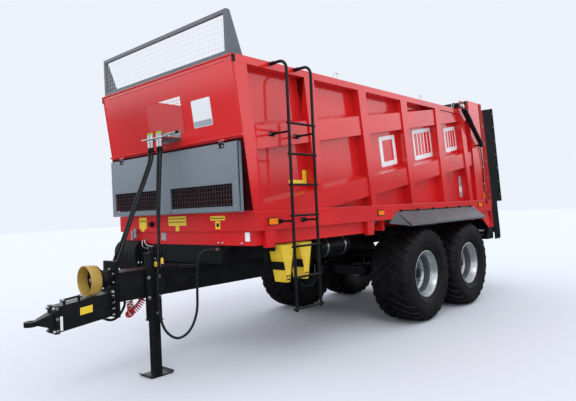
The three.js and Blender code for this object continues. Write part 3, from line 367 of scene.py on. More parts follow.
def turned(profile, sides=32, closed=False):
    """A solid turned about the local Z axis from (radius, height) points. Zero radii close its ends."""
    points, rings = [], []
    for radius, height in profile:
        if radius < 1e-6:
            rings.append([len(points)])
            points.append(Vector((0, 0, height)))
            continue
        rings.append(range(len(points), len(points) + sides))
        for angle in around(sides):
            points.append(Vector((radius * math.cos(angle), radius * math.sin(angle), height)))
    faces = []
    pairs = list(zip(rings, rings[1:]))
    if closed:
        pairs.append((rings[-1], rings[0]))
    for low, high in pairs:
        for i in range(sides):
            j = (i + 1) % sides
            if len(low) == 1 and len(high) > 1:
                faces.append((low[0], high[j], high[i]))
            elif len(high) == 1 and len(low) > 1:
                faces.append((low[i], low[j], high[0]))
            elif len(low) > 1:
                faces.append((low[i], low[j], high[j], high[i]))
    return points, faces


def rod_profile(radius, low, high):
    """The profile of a plain round rod with closed ends."""
    return [(0, low), (radius, low), (radius, high), (0, high)]


def facing(place, direction):
    """The matrix that puts a turned solid's foot at place with its axis along direction."""
    turn = Vector((0, 0, 1)).rotation_difference(Vector(direction))
    return Matrix.Translation(place) @ turn.to_matrix().to_4x4()


def turned_piece(name, profile, axes, slot, body=BODY, sides=32, closed=False, smooth=35, look=None):
    """The same turned solid at one or more places, as one object."""
    solid = turned(profile, sides, closed)
    places = axes if isinstance(axes, list) else [axes]
    return mesh_piece(name, [moved(solid, axis) for axis in places], slot, body, look=look, smooth=smooth)


def bolts(name, places, direction, radius, body=BODY):
    """Hexagon heads on washers."""
    top = radius * 1.15
    head = turned([(0, 0), (radius, 0.003), (radius, radius * 0.95), (radius * 0.8, top), (0, top)], 6)
    washer = turned(rod_profile(radius * 1.45, 0, 0.003), 16)
    solids = [moved(solid, facing(place, direction)) for place in places for solid in (head, washer)]
    return mesh_piece(name, solids, "bare_steel", body, smooth=25)


def smooth_route(points, steps=6):
    """Points along a smooth curve through the given points."""
    points = [Vector(p) for p in points]
    padded = [2 * points[0] - points[1], *points, 2 * points[-1] - points[-2]]
    route = []
    for a, b, c, d in zip(padded, padded[1:], padded[2:], padded[3:]):
        for i in range(steps):
            t = i / steps
            route.append(0.5 * (2 * b + (c - a) * t + (2 * a - 5 * b + 4 * c - d) * t * t
                                + (3 * b - a - 3 * c + d) * t ** 3))
    route.append(points[-1])
    return route


def route_through(*places):
    """A smooth row-frame route through machine-frame places."""
    return smooth_route([at(*place) for place in places])


def route_length(route):
    return sum((b - a).length for a, b in zip(route, route[1:]))


def plate_solid(corners, normal, thick=0.0015):
    """A thin plate from its corners, standing off along normal."""
    lift = Vector(normal).normalized() * thick
    count = len(corners)
    points = [c + lift * 0.2 for c in corners] + [c + lift for c in corners]
    faces = [tuple(range(count))[::-1], tuple(range(count, 2 * count))]
    faces += [(i, (i + 1) % count, count + (i + 1) % count, count + i) for i in range(count)]
    return points, faces


def rounded(width, height, radius, steps=4):
    """Corner points of a rounded rectangle about the origin, as (u, v)."""
    outline = []
    for k, (su, sv) in enumerate([(1, 1), (-1, 1), (-1, -1), (1, -1)]):
        for i in range(steps + 1):
            angle = math.pi / 2 * (k + i / steps)
            outline.append((su * (width / 2 - radius) + radius * math.cos(angle),
                            sv * (height / 2 - radius) + radius * math.sin(angle)))
    return outline


# ---------------------------------------------------------------- hoses

HOSES = {  # machine frame, in millimetres
    "hose_left_a": [
        (-45, -3255, 2214.7), (-45, -3255, 2160), (-46, -3275, 2060), (-52, -3340, 1900),
        (-50, -3475, 1600), (-75, -3590, 1300), (-124, -3650, 1120), (-150, -3640, 1000),
        (-156, -3575, 800), (-156, -3535, 690), (-150, -3598, 592), (-130, -3680, 562),
        (-100, -3755, 578), (-88, -3786, 600), (-88, -3786, 629.7)],
    "hose_left_b": [
        (5, -3255, 2214.7), (5, -3255, 2160), (4, -3275, 2060), (-2, -3340, 1900),
        (-4, -3475, 1600), (2, -3620, 1270), (0, -3690, 1110), (0, -3690, 1030.3)],
    "hose_mid": [
        (105, -3255, 2214.7), (105, -3255, 2160), (112, -3280, 1900), (124, -3304, 1600),
        (104, -3292, 1250), (92, -3285, 1100), (92, -3285, 1030.3)],
    "hose_loop": [
        (152, -3255, 2214.7), (152, -3255, 2160), (162, -3285, 1900), (174, -3318, 1600),
        (182, -3352, 1200), (192, -3378, 900), (194, -3374, 613), (222, -3336, 433), (280, -3242, 345),
        (340, -3138, 408), (400, -3092, 582), (432, -3098, 813), (458, -3100, 1040),
        (500, -3076, 1155), (560, -3030, 1182), (606, -2990, 1180), (606, -2955.3, 1180)],
}
AIR_COIL = [
    (-10, -3432, 759.7), (-10, -3432, 722), (-18, -3478, 662), (-42, -3538, 612), (-95, -3530, 590),
    (-150, -3478, 598), (-196, -3452, 655), (-208, -3460, 730), (-208, -3460, 789.7)]
FERRULE = [(0.0165, 0), (0.0165, 0.04), (0.014, 0.046), (0.013, 0.046)]
COIL_TURNS = 26
COIL_RADIUS = 0.030
LINE_RADIUS = 0.0055


def metres(points):
    return [at(*(value / 1000 for value in point)) for point in points]


def add_hoses():
    for name, points in HOSES.items():
        route = smooth_route(metres(points))
        hose = tube_piece(name + "_rubber", [route], HOSE_RADIUS, "hose_rubber")
        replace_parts(hose, name)
        top = facing(route[0], route[1] - route[0])
        end = facing(route[-1], route[-2] - route[-1])
        ferrules = [turned_piece(f"{name}_{label}_ferrule", FERRULE, axis, "bare_steel", sides=20, smooth=30,
                                 look=look)
                    for label, axis, look in (("top", top, "black_plastic"), ("end", end, None))]


def add_air_coil():
    """A curly air line wound about the route of its solid."""
    route = smooth_route(metres(AIR_COIL), 12)
    total = route_length(route)
    steps = 14
    last = COIL_TURNS * steps
    lengths = [0.0]
    for a, b in zip(route, route[1:]):
        lengths.append(lengths[-1] + (b - a).length)
    points = []
    side = Vector((1, 0, 0))
    index = 0
    for i in range(last + 1):
        walked = total * i / last
        while index < len(route) - 2 and lengths[index + 1] < walked:
            index += 1
        piece = route[index + 1] - route[index]
        place = route[index] + piece * ((walked - lengths[index]) / max(piece.length, 1e-6))
        along = piece.normalized()
        side = (side - along * side.dot(along)).normalized()
        rise = along.cross(side)
        grow = min(1.0, i / steps, (last - i) / steps)
        angle = 2 * math.pi * i / steps
        points.append(place + COIL_RADIUS * grow * (math.cos(angle) * side + math.sin(angle) * rise))
    coil = tube_piece("air_coil_line", [points], LINE_RADIUS, "red_hose", sides=3)
    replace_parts(coil, "air_coil")


add_hoses()
add_air_coil()

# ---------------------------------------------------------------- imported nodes

NODE_LOOKS = {
    "mudguard_left": "satin_slate", "mudguard_right": "satin_slate",
    "guard_left": "matt_black", "guard_right": "matt_black"}
SHARP_NODES = {"floor_chain", "floor_deck", "lower_frame", "chassis_frame"}


def dress_nodes():
    """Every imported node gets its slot's material, and all but the finest ones soft edges."""
    slots = {part["node"]: part["material_slot"] for part in frame["record"]["subparts"]}
    for name, node in frame["nodes"].items():
        node.data.materials.clear()
        node.data.materials.append(MATERIALS[NODE_LOOKS.get(name, slots[name])])
        node.modifiers.new("weld", "WELD").merge_threshold = 0.0001
        if name not in SHARP_NODES:
            soften(node, 0.003, 40)


dress_nodes()

# ---------------------------------------------------------------- wheels

TYRE_PROFILE = [  # (distance from the middle of the tread, radius) over one half
    (0.0, 0.5970), (0.070, 0.5965), (0.140, 0.5945), (0.195, 0.5895), (0.232, 0.5785), (0.255, 0.5620),
    (0.267, 0.5380), (0.2735, 0.4950), (0.2740, 0.4500), (0.270, 0.4050), (0.260, 0.3600), (0.246, 0.3270),
    (0.236, 0.3150), (0.233, 0.3080), (0.221, 0.3035)]
LUGS = 28
LUG_STATIONS = [  # (height, width, sweep) along a lug, the last two in lug pitches
    (0.0195, 0.44, 0.0), (0.0195, 0.46, 0.30), (0.0190, 0.50, 0.74), (0.0185, 0.52, 1.02),
    (0.0165, 0.52, 1.16), (0.0115, 0.48, 1.22), (0.0010, 0.42, 1.25)]
SIDEWALL_RINGS = [
    [(0.522, 0.270), (0.526, 0.2755), (0.530, 0.271)], [(0.372, 0.262), (0.376, 0.2685), (0.381, 0.265)]]
RIM_BARREL = [  # (radius, height): flange, bead seat, and back along the inside
    (0.300, 0.219), (0.303, 0.224), (0.301, 0.231), (0.294, 0.233), (0.287, 0.226), (0.281, 0.206),
    (0.2740, 0.196), (0.2660, 0.156), (0.2620, 0.148), (0.2440, 0.140), (0.2760, 0.136), (0.283, 0.160),
    (0.291, 0.212)]
RIM_WELL = [
    (0.2600, 0.1475), (0.2430, 0.1400), (0.2400, 0.132), (0.2370, 0.070), (0.2370, -0.045), (0.2440, -0.100),
    (0.2570, -0.150), (0.2720, -0.180), (0.2800, -0.206), (0.287, -0.226), (0.301, -0.231), (0.303, -0.219),
    (0.291, -0.212), (0.284, -0.180), (0.262, -0.140), (0.250, -0.060), (0.250, 0.070), (0.262, 0.130)]
RIM_DISC = [
    (0.046, 0.073), (0.085, 0.073), (0.100, 0.067), (0.150, 0.067), (0.166, 0.061), (0.192, 0.037),
    (0.212, 0.029), (0.226, 0.033), (0.2365, 0.045), (0.2365, 0.035), (0.226, 0.021), (0.212, 0.017),
    (0.192, 0.025), (0.160, 0.049), (0.100, 0.057), (0.046, 0.057)]
RIM_WELD = [(0.2100, 0.034), (0.2180, 0.044), (0.2270, 0.050), (0.2365, 0.062), (0.2365, 0.040)]
HUB = [
    (0.0, 0.121), (0.030, 0.120), (0.050, 0.115), (0.058, 0.105), (0.060, 0.085), (0.072, 0.081),
    (0.078, 0.074), (0.078, -0.030), (0.0, -0.030)]
STUD = [(0.015, 0.067), (0.015, 0.079), (0.012, 0.087), (0.006, 0.088), (0.006, 0.099), (0, 0.100)]
DRUM = [(0.0, -0.056), (0.186, -0.056), (0.190, -0.066), (0.190, -0.205), (0.182, -0.214), (0.0, -0.214)]


def tyre_solid():
    profile = [(r, -x) for x, r in reversed(TYRE_PROFILE)] + [(r, x) for x, r in TYRE_PROFILE[1:]]
    inner = [(0.292, 0.212), (0.292, -0.212)]
    return turned(profile + inner, 96, closed=True)


def tread_outline():
    """Points of the tread over one half, each with its outward normal."""
    outline = []
    for i in range(len(LUG_STATIONS)):
        ahead, before = TYRE_PROFILE[i + 1], TYRE_PROFILE[max(i - 1, 0)]
        slope = Vector((ahead[0] - before[0], ahead[1] - before[1])).normalized()
        outline.append((*TYRE_PROFILE[i], -slope.y, slope.x))
    return outline


def tread_solids():
    """Wave-shaped flotation lugs that run from the middle of the tread down to the shoulder."""
    solids = []
    pitch = 2 * math.pi / LUGS
    outline = tread_outline()
    for side in (1, -1):
        for k in range(LUGS):
            start = pitch * (k + (0.5 if side < 0 else 0.0))
            points = []
            for (x, r, nx, nr), (height, width, sweep) in zip(outline, LUG_STATIONS):
                middle = start + pitch * sweep
                for share, lift in ((-0.5, -0.004), (-0.36, height), (0.36, height), (0.5, -0.004)):
                    angle = middle + pitch * width * share
                    radius = r + nr * lift
                    axial = side * (x + nx * lift - (0.012 if x == 0 else 0.0))
                    points.append(Vector((radius * math.cos(angle), radius * math.sin(angle), axial)))
            solids.append((points, tube_faces(len(outline) - 1, side > 0)))
    return solids


def tube_faces(steps, flip):
    """Faces of a four-sided tube with steps lengths and closed ends."""
    faces = []
    for i in range(steps):
        for j in range(4):
            a, b = 4 * i + j, 4 * i + (j + 1) % 4
            faces.append((a, b, b + 4, a + 4))
    end = 4 * steps
    faces += [(3, 2, 1, 0), (end, end + 1, end + 2, end + 3)]
    return [face[::-1] for face in faces] if flip else faces


def sidewall_solids():
    """Raised rings and short ribs on the outer sidewall."""
    inner, outer, half = (0.385, 0.2655), (0.402, 0.2695), 0.0022  # (radius, height) of the rib's ends
    outline = ((inner, -half), (inner, half), (outer, half), (outer, -half))
    corners = [(radius, y, z) for (radius, z), y in outline]
    ribs = [moved(slab(corners, 0.003), Matrix.Rotation(angle, 4, "Z")) for angle in around(60)]
    return [turned(ring, 96) for ring in SIDEWALL_RINGS] + ribs


def add_wheel(place, hand, y, side):
    """A tyre with its tread, a dished rim, hub, studs and valve, turning about its axle."""
    body = f"wheel_{place}_{hand}"
    axis = facing(at(side * WHEEL_X, y, TYRE_RADIUS), (side, 0, 0))
    rubber = [moved(solid, axis) for solid in [tyre_solid(), *tread_solids(), *sidewall_solids()]]
    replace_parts(mesh_piece(f"{body}_tyre", rubber, "tyre_rubber", body, smooth=32), f"tyre_{place}_{hand}")
    rim = turned_piece(f"{body}_rim", RIM_BARREL, axis, "rim_silver", body, 72, True, 40)
    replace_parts(rim, f"rim_{place}_{hand}")
    # The well and the disc take the darker rim_shade tone as painted shade
    inside = [moved(turned(profile, 72, closed=True), axis) for profile in (RIM_WELL, RIM_DISC)]
    mesh_piece(f"{body}_rim_well", inside, "rim_silver", body, look="rim_shade", smooth=40)
    turned_piece(f"{body}_rim_weld", RIM_WELD, axis, "rim_silver", body, 72, True, 40)
    turned_piece(f"{body}_hub", HUB, axis, "black_paint", body)
    outward = Matrix.Translation((0.1325, 0, 0))
    stud_axes = [axis @ Matrix.Rotation(angle, 4, "Z") @ outward for angle in around(10)]
    turned_piece(f"{body}_studs", STUD, stud_axes, "bare_steel", body, 6, smooth=25)
    bolts(f"{body}_hub_bolts", [axis @ Vector((0.066 * math.cos(a), 0.066 * math.sin(a), 0.079))
                                for a in around(8)], (side, 0, 0), 0.005, body)
    stem = [axis @ Vector(p) for p in ((0.240, 0.02, 0.096), (0.232, 0.02, 0.115), (0.224, 0.02, 0.150))]
    tube_piece(f"{body}_valve", [stem], 0.005, "bare_steel", body)
    turned_piece(f"brake_drum_{place}_{hand}", DRUM, axis, "black_paint", "bogie", 48)


for wheel_place, wheel_y in (("front", 0.0), ("rear", WHEELBASE)):
    for wheel_hand, wheel_side in HANDS:
        add_wheel(wheel_place, wheel_hand, wheel_y, wheel_side)

# ---------------------------------------------------------------- wire meshes

def add_wire_mesh(name, node, x_range, z_range, y_at, pitch, wire, body=BODY, slot="wire_mesh", look=None):
    """Crossing wires over a rectangle of a wall. y_at gives the wall's Y at a height."""
    bars = []
    (x0, x1), (z0, z1) = x_range, z_range
    count = round((x1 - x0) / pitch)
    for i in range(1, count):
        x = x0 + (x1 - x0) * i / count
        bars.append(bar_solid(at(x, y_at(z0), z0), at(x, y_at(z1), z1), wire))
    count = round((z1 - z0) / pitch)
    for i in range(1, count):
        z = z0 + (z1 - z0) * i / count
        bars.append(bar_solid(at(x0, y_at(z) + 2 * wire, z), at(x1, y_at(z) + 2 * wire, z), wire))
    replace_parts(mesh_piece(name, bars, slot, body, look=look), node)


add_wire_mesh("headboard_wires", "headboard_mesh", (-1.035, 1.035), (2.9715, 3.310),
              lambda z: -3.137, 0.046, 0.0008, look="pale_wire")
add_wire_mesh("flap_wires", "flap_mesh", (-1.040, 1.020), (1.570, 1.818),
              lambda z: FLAP_Y + 0.0095, 0.040, 0.0032, "front_flap")
add_wire_mesh("window_wires", "window_mesh", (-0.289, 0.309), (2.331, 2.699),
              lambda z: front_at(z) + 0.002, 0.030, 0.0010, look="red_paint")

# ---------------------------------------------------------------- ladder

def bent_rail(y):
    """One rail with the gooseneck that joins it to the top rail of the wall."""
    bend = 0.085
    points = [at(LADDER_X, y, FIRST_RUNG - 0.024), at(LADDER_X, y, RAIL_Z - bend - 0.04)]
    for i in range(13):
        angle = math.pi / 2 * i / 12
        points.append(at(LADDER_X - bend * (1 - math.cos(angle)), y, RAIL_Z - bend + bend * math.sin(angle)))
    points.append(at(WALL_OUT + 0.001, y, RAIL_Z))
    return points


def add_ladder():
    rails = tube_piece("ladder_rails", [bent_rail(y) for y in LADDER_YS], 0.0145, "black_paint", sides=6)
    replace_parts(rails, "ladder")
    front, rear = LADDER_YS
    rungs = []
    for i in range(RUNGS):
        z = FIRST_RUNG + RUNG_PITCH * i
        reach = 0.036 if i == 0 else 0.027
        rungs.append([at(LADDER_X, front - reach, z), at(LADDER_X, rear + reach, z)])
    tube_piece("ladder_rungs", rungs, 0.0115, "black_paint", sides=5)
    stays = [[at(x + 0.001, y, z), at(LADDER_X, y, z)] for y in LADDER_YS for x, z in LADDER_MOUNTS]
    tube_piece("ladder_stays", stays, 0.0105, "black_paint", sides=5)
    sleeves = [[start, start + Vector((0.052, 0, 0))] for start, _ in stays]
    tube_piece("ladder_sleeves", sleeves, 0.0155, "black_paint", look="black_plastic", sides=5)
    grips = [[at(WALL_OUT + reach, y, RAIL_Z) for reach in (0.001, 0.052)] for y in LADDER_YS]
    tube_piece("ladder_grips", grips, 0.0190, "black_paint", look="black_plastic", sides=5)
    pads = [box_solid(x + 0.0005, x + 0.006, y - 0.036, y + 0.036, z - 0.022, z + 0.022)
            for x, z in LADDER_MOUNTS for y in LADDER_YS]
    mesh_piece("ladder_pads", pads, "black_paint", bevel=0.002)
    bolts("ladder_bolts", [at(x + 0.006, y + d, z) for y in LADDER_YS for d in (-0.026, 0.026)
                           for x, z in LADDER_MOUNTS], (1, 0, 0), 0.006)


add_ladder()

# ---------------------------------------------------------------- front of the box

def front_plate(name, x0, x1, z0, z1, look, offset=0.0015, radius=0.01, face=None):
    """A thin rounded plate on the leaning front wall, or on an upright face at Y = face."""
    corners = []
    for u, v in rounded(x1 - x0, z1 - z0, radius):
        z = (z0 + z1) / 2 + v
        corners.append(at((x0 + x1) / 2 + u, front_at(z) if face is None else face, z))
    mesh_piece(name, [plate_solid(corners, (0, -1, 0), offset)], "red_paint", look=look)


def wall_line(*places):
    """A route just off the front wall's outer face through (x, z) places."""
    return [at(x, front_at(z) - 0.001, z) for x, z in places]


def add_front_wall():
    """The plain plate, folded edges and corner caps of the wall, and dark sheets that paint the shade behind
    the flap.
    """
    front_plate("maker_plate", 0.47, 0.75, 2.36, 2.62, "label_white", 0.003, 0.015)
    front_plate("maker_plate_base", 0.475, 0.745, 2.365, 2.42, "label_grey", 0.0038, 0.012)
    rim = wall_line((-0.292, 2.328), (0.312, 2.328), (0.312, 2.702), (-0.292, 2.702), (-0.292, 2.328))
    tube_piece("window_edge", [rim], 0.0032, "red_paint")
    fold = [at(x, front_at(2.925) - 0.004, 2.925) for x in (-1.128, 1.128)]
    tube_piece("wall_top_fold", [fold], 0.009, "red_paint")
    cap_y = front_at(2.89)
    caps = [box_solid(x - 0.005, x + 0.005, cap_y - 0.010, cap_y + 0.028, 2.860, 2.930)
            for x in (-1.128, 1.128)]
    mesh_piece("wall_corner_caps", caps, "black_paint", look="black_plastic", bevel=0.004)
    folds = [wall_line(*((x, z) for z in (2.26, 2.45, 2.64, 2.90))) for x in (-1.112, 1.112)]
    tube_piece("wall_edge_folds", folds, 0.006, "red_paint")
    # Dark plates that paint the shade behind the flap, on the wall face and in front of its ribs
    shades = (("wall_shade", 1.128, 1.545, 2.200, 0.0005), ("louvre_shade", 1.030, 1.600, 1.835, 0.0250))
    for name, half, z0, z1, gap in shades:
        corners = [at(x, front_at(z) - gap, z) for x, z in ((-half, z0), (half, z0), (half, z1), (-half, z1))]
        mesh_piece(name, [plate_solid(corners, (0, -1, 0))], "red_paint", look="flap_shade")
    lip = box_solid(-1.130, -1.126, front_at(1.60) - 0.056, front_at(1.60), 1.60, 1.86)
    mesh_piece("wall_lip", [lip], "red_paint")


def add_flap_details():
    """Hinges, folded edges, window frames and rivets of the front flap."""
    body, slot = "front_flap", "flap_sheet"
    leaves = []
    for x in HINGE_XS:
        leaves += [box_solid(x - 0.042, x + 0.042, FLAP_Y - 0.014, FLAP_Y - 0.0095, 2.126, 2.162),
                   box_solid(x - 0.030, x + 0.030, FLAP_Y - 0.018, FLAP_Y - 0.010, 2.152, 2.176)]
    mesh_piece("flap_hinge_leaves", leaves, slot, body, look="black_plastic", bevel=0.002)
    knuckles = [[at(x + reach, FLAP_Y, 2.185) for reach in (-0.045, 0.045)] for x in HINGE_XS]
    tube_piece("flap_hinge_pins", knuckles, 0.008, slot, body, look="black_plastic")
    bolts("flap_hinge_bolts", [at(x + d, FLAP_Y - 0.014, 2.140) for x in HINGE_XS for d in (-0.028, 0.028)],
          (0, -1, 0), 0.006, body)
    edges = [
        box_solid(-1.086, -1.078, FLAP_FACE, FLAP_Y + 0.040, 1.540, 2.168),
        box_solid(1.078, 1.086, FLAP_FACE, FLAP_Y + 0.040, 1.540, 2.168),
        box_solid(-1.078, 1.078, FLAP_FACE, FLAP_Y + 0.030, 1.538, 1.545)]
    mesh_piece("flap_folds", edges, slot, body, bevel=0.0015)
    frames = []
    for x0, x1 in ((-1.022, -0.160), (0.054, 1.002)):
        for left, right, low, high in (
                (x0, x1, 1.796, 1.802), (x0, x1, 1.586, 1.592),
                (x0 - 0.002, x0 + 0.004, 1.588, 1.800), (x1 - 0.004, x1 + 0.002, 1.588, 1.800)):
            frames.append(box_solid(left, right, FLAP_Y - 0.0115, FLAP_Y - 0.008, low, high))
    mesh_piece("flap_window_frames", frames, slot, body, bevel=0.001)
    bolts("flap_rivets", [at(x, FLAP_FACE, z) for x in (-1.052, -0.053, 1.044) for z in (1.60, 1.79)],
          (0, -1, 0), 0.004, body)


add_front_wall()
add_flap_details()

# ---------------------------------------------------------------- couplings above the flap

COUPLER = [
    (0, 0), (0.018, 0), (0.018, 0.008), (0.0145, 0.011), (0.0145, 0.022), (0.017, 0.025), (0.017, 0.036),
    (0.012, 0.039), (0.012, 0.044), (0, 0.044)]
COUPLER_CAP = [(0.0140, 0.036), (0.0165, 0.038), (0.0165, 0.055), (0.013, 0.060), (0, 0.061)]
LEVER_KNOB = [(0, 0), (0.014, 0.004), (0.018, 0.018), (0.014, 0.032), (0, 0.036)]


def add_couplings():
    """Quick couplings with dust caps and nuts, and the lever beside them."""
    for index, x in enumerate(HOSE_XS):
        foot = at(x, RACK_Y, RACK_Z + 0.006)
        upright = facing(foot, (0, 0, 1))
        under = facing(foot - Vector((0, 0, 0.034)), (0, 0, 1))
        turned_piece(f"coupler_{index}", COUPLER, upright, "bare_steel", sides=24, smooth=30)
        turned_piece(f"coupler_cap_{index}", COUPLER_CAP, upright, "bare_steel", sides=24, smooth=30,
                     look="cap_green")
        nut = rod_profile(0.021, 0, 0.022)
        turned_piece(f"coupler_nut_{index}", nut, under, "bare_steel", sides=6, smooth=25)
    rod = [at(x, -3.235 + 0.02 * x, RACK_Z + z) for x, z in ((0.17, 0.012), (0.26, 0.026), (0.37, 0.030))]
    tube_piece("lever_rod", [rod], 0.008, "bare_steel")
    turned_piece("lever_knob", LEVER_KNOB, facing(rod[-1], (1, 0, 0)), "bare_steel", sides=20, smooth=40,
                 look="black_plastic")
    places = [at(x, front_at(2.34) - 0.007, 2.34) for x in (-0.10, 0.055, 0.21)]
    bolts("rack_bolts", places, (0, -1, 0), 0.007)


add_couplings()

# ---------------------------------------------------------------- front beam

BEAM_LABELS = [  # x0, x1, z0, z1
    (-0.742, -0.592, 1.385, 1.516), (-0.702, -0.642, 1.360, 1.385), (-0.176, 0.131, 1.418, 1.515),
    (-0.052, 0.008, 1.360, 1.418), (0.521, 0.736, 1.462, 1.505), (0.593, 0.663, 1.378, 1.455)]
BEAM_LABEL_BANDS = [
    (-0.732, -0.602, 1.47, 1.478), (-0.162, 0.118, 1.486, 1.494), (-0.162, 0.118, 1.452, 1.460),
    (0.533, 0.723, 1.479, 1.487), (0.610, 0.648, 1.40, 1.435)]
BEAM_SOCKET = [
    (0, 0), (0.032, 0), (0.032, 0.012), (0.024, 0.018), (0.024, 0.034), (0.018, 0.040), (0, 0.040)]
BEAM_FITTING = [
    (0, 0), (0.018, 0.003), (0.018, 0.040), (0.012, 0.046), (0.012, 0.070), (0.020, 0.074), (0.020, 0.100),
    (0.013, 0.106), (0, 0.106)]


def add_beam_labels():
    """Plain labels, a socket and bolts on the front beam and on the strip below it."""
    for i, sizes in enumerate(BEAM_LABELS):
        front_plate(f"beam_label_{i}", *sizes, "label_yellow", 0.001, 0.004, BEAM_FRONT)
    for i, sizes in enumerate(BEAM_LABEL_BANDS):
        front_plate(f"beam_label_band_{i}", *sizes, "black_plastic", 0.0016, 0.002, BEAM_FRONT)
    for i, (x0, x1, look) in enumerate(((-0.345, -0.262, "label_grey"), (0.985, 1.047, "label_white"))):
        front_plate(f"strip_plate_{i}", x0, x1, 1.262, 1.345, look, 0.004, 0.006, STRIP_FRONT)
    turned_piece("beam_socket", BEAM_SOCKET, facing(at(-0.480, BEAM_FRONT, 1.438), (0, -1, 0)), "black_paint",
                 sides=28, look="black_plastic")
    bolts("strip_bolts", [at(x, STRIP_FRONT, 1.243) for x in (0.60, 0.66, 0.93, -0.85)], (0, -1, 0), 0.009)


def add_front_pipes():
    """Steel pipes and a bundle of hoses that come out below the front beam, before their black cover."""
    pipes = [
        route_through((-0.674, -2.958, 1.264), (-0.676, -2.985, 1.250), (-0.662, -2.990, 1.195),
                      (-0.590, -2.990, 1.174), (-0.430, -2.985, 1.172)),
        route_through((-0.622, -2.958, 1.275), (-0.624, -2.985, 1.262), (-0.600, -2.990, 1.220),
                      (-0.530, -2.990, 1.200), (-0.430, -2.985, 1.199))]
    tube_piece("front_pipes", pipes, 0.0075, "bare_steel")
    mesh_piece("front_pipe_clamp", [box_solid(-0.445, -0.385, -3.005, -2.950, 1.158, 1.213)],
               "black_paint", look="black_plastic", bevel=0.004)
    cover = [box_solid(-1.060, -0.125, -2.900, -2.860, 1.004, 1.224),
             box_solid(-1.060, -0.125, -2.905, -2.855, 1.004, 1.020)]
    mesh_piece("front_cover", cover, "black_paint", look="matt_black", bevel=0.003)
    places = [facing(at(x, -2.995, z), (0.10, 0, 1)) for x, z in ((-0.800, 1.290), (-0.865, 1.262))]
    turned_piece("beam_fittings", BEAM_FITTING, places, "bare_steel", sides=20, smooth=30, look="rim_silver")
    tails = [route_through(
        (x, -2.92, 1.238), (x, -3.02, 1.240), (x + 0.01, -3.090, 1.170), (x + 0.02, -3.100, 1.050),
        (x + 0.05, -3.060, 0.935), (x + 0.12, -2.980, 0.905), (x + 0.20, -2.905, 0.985))
        for x in (-1.070 + 0.048 * i for i in range(9))]
    drops = [route_through(
        (x, -2.93, 1.238), (x + 0.006, -2.955, 1.15), (x - 0.006, -2.950, 1.02), (x + 0.01, -2.930, 0.930),
        (x + 0.03, -2.890, 0.985)) for x in (-1.045 + 0.062 * i for i in range(13))]
    tube_piece("hose_bundle", tails, 0.0145, "hose_rubber", sides=3)
    tube_piece("beam_hoses", drops, HOSE_RADIUS, "hose_rubber", sides=3)


add_beam_labels()
add_front_pipes()

# ---------------------------------------------------------------- drawbar, hitch and jack

JACK_GEAR = [
    (0, 0), (0.040, 0), (0.040, 0.018), (0.033, 0.024), (0.033, 0.056), (0.028, 0.062), (0, 0.062)]
JACK_GRIP = [(0.010, 0), (0.013, 0.003), (0.013, 0.050), (0.009, 0.056), (0, 0.057)]
SHIELD_RING = [
    (0.1375, 0.0), (0.138, 0.004), (0.135, 0.060), (0.131, 0.100), (0.126, 0.106), (0.1225, 0.104),
    (0.1265, 0.060), (0.130, 0.004), (0.1315, -0.001)]
SHIELD_CONE = [  # the outside with its bellows, then back along the inside
    (0.124, 0.092), (0.127, 0.112), (0.112, 0.127), (0.084, 0.134), (0.080, 0.150), (0.083, 0.158),
    (0.078, 0.166), (0.081, 0.176), (0.076, 0.184), (0.079, 0.194), (0.074, 0.202), (0.070, 0.236),
    (0.062, 0.236), (0.066, 0.140), (0.106, 0.120), (0.118, 0.094)]
STUB = [(0, 0), (0.012, 0), (0.0145, 0.004), (0.0145, 0.119), (0.030, 0.125), (0.030, 0.4055), (0, 0.4055)]


def weld_route(points, lumps=0.0012):
    """Route points with a slight ripple, for a weld bead."""
    route = smooth_route(points, 10)
    return [p + Vector((0, 0, lumps * math.sin(2.3 * i))) for i, p in enumerate(route)]


def add_drawbar_details():
    """Bolts, labels, weld beads, knee braces and rod ends of the drawbar and the hitch arm."""
    ahead, outward = (0, -1, 0), (1, 0, 0)
    heights = (0.655, 0.710, 0.765, 0.820, 0.858)
    bolts("flange_bolts", [at(x, -3.7925, z) for x in (-0.094, 0.094) for z in heights], ahead, 0.014)
    bolts("front_plate_bolts", [at(0.078 * math.cos(a), -3.770, DRIVE_Z + 0.078 * math.sin(a))
                                for a in around(6, math.pi / 6)], ahead, 0.009)
    bolts("nose_bolts", [at(x, -4.318, z) for x in (-0.060, 0.060) for z in (0.595, 0.790)], ahead, 0.014)
    bolts("nose_side_bolts", [at(0.076, -4.300, z) for z in (0.60, 0.70, 0.79)], outward, 0.010)
    bolts("jack_flange_bolts", [at(JACK_X + 0.058, JACK_Y + d, z) for d in (-0.082, 0.032)
                                for z in (0.755, 0.945)], outward, 0.013)
    for name, look, x, outline in (
            ("arm_label", "label_yellow", 0.0755,
             ((-4.100, 0.70), (-3.985, 0.712), (-3.985, 0.775), (-4.100, 0.763))),
            ("nose_label", "label_white", 0.0765,
             ((-4.278, 0.60), (-4.255, 0.60), (-4.255, 0.72), (-4.278, 0.72)))):
        corners = [at(x, y, z) for y, z in outline]
        mesh_piece(name, [plate_solid(corners, outward)], "black_paint", look=look)
    seams = []
    for side in (-1, 1):
        seams.append(weld_route([at(side * 0.121, -3.748, z) for z in (0.765, 1.025)]))
        seams.append(weld_route([at(side * x, y, z) for x, y, z in (
            (0.121, -3.08, 0.998), (0.20, -2.99, 0.999), (0.46, -2.65, 0.999))]))
    tube_piece("drawbar_welds", seams, 0.004, "black_paint", sides=2)
    braces = [[at(side * 0.121, -2.93, 0.84), at(side * 0.29, -2.72, 0.985)] for side in (1, -1)]
    tube_piece("knee_braces", braces, 0.010, "black_paint", sides=3)
    tips = [facing(at(0.04, y, z), (0, 1, 0.1)) for y, z in ((-4.24, 0.848), (-4.072, 0.864))]
    turned_piece("arm_rod_ends", rod_profile(0.015, -0.014, 0.014), tips, "bare_steel", sides=16, smooth=30)


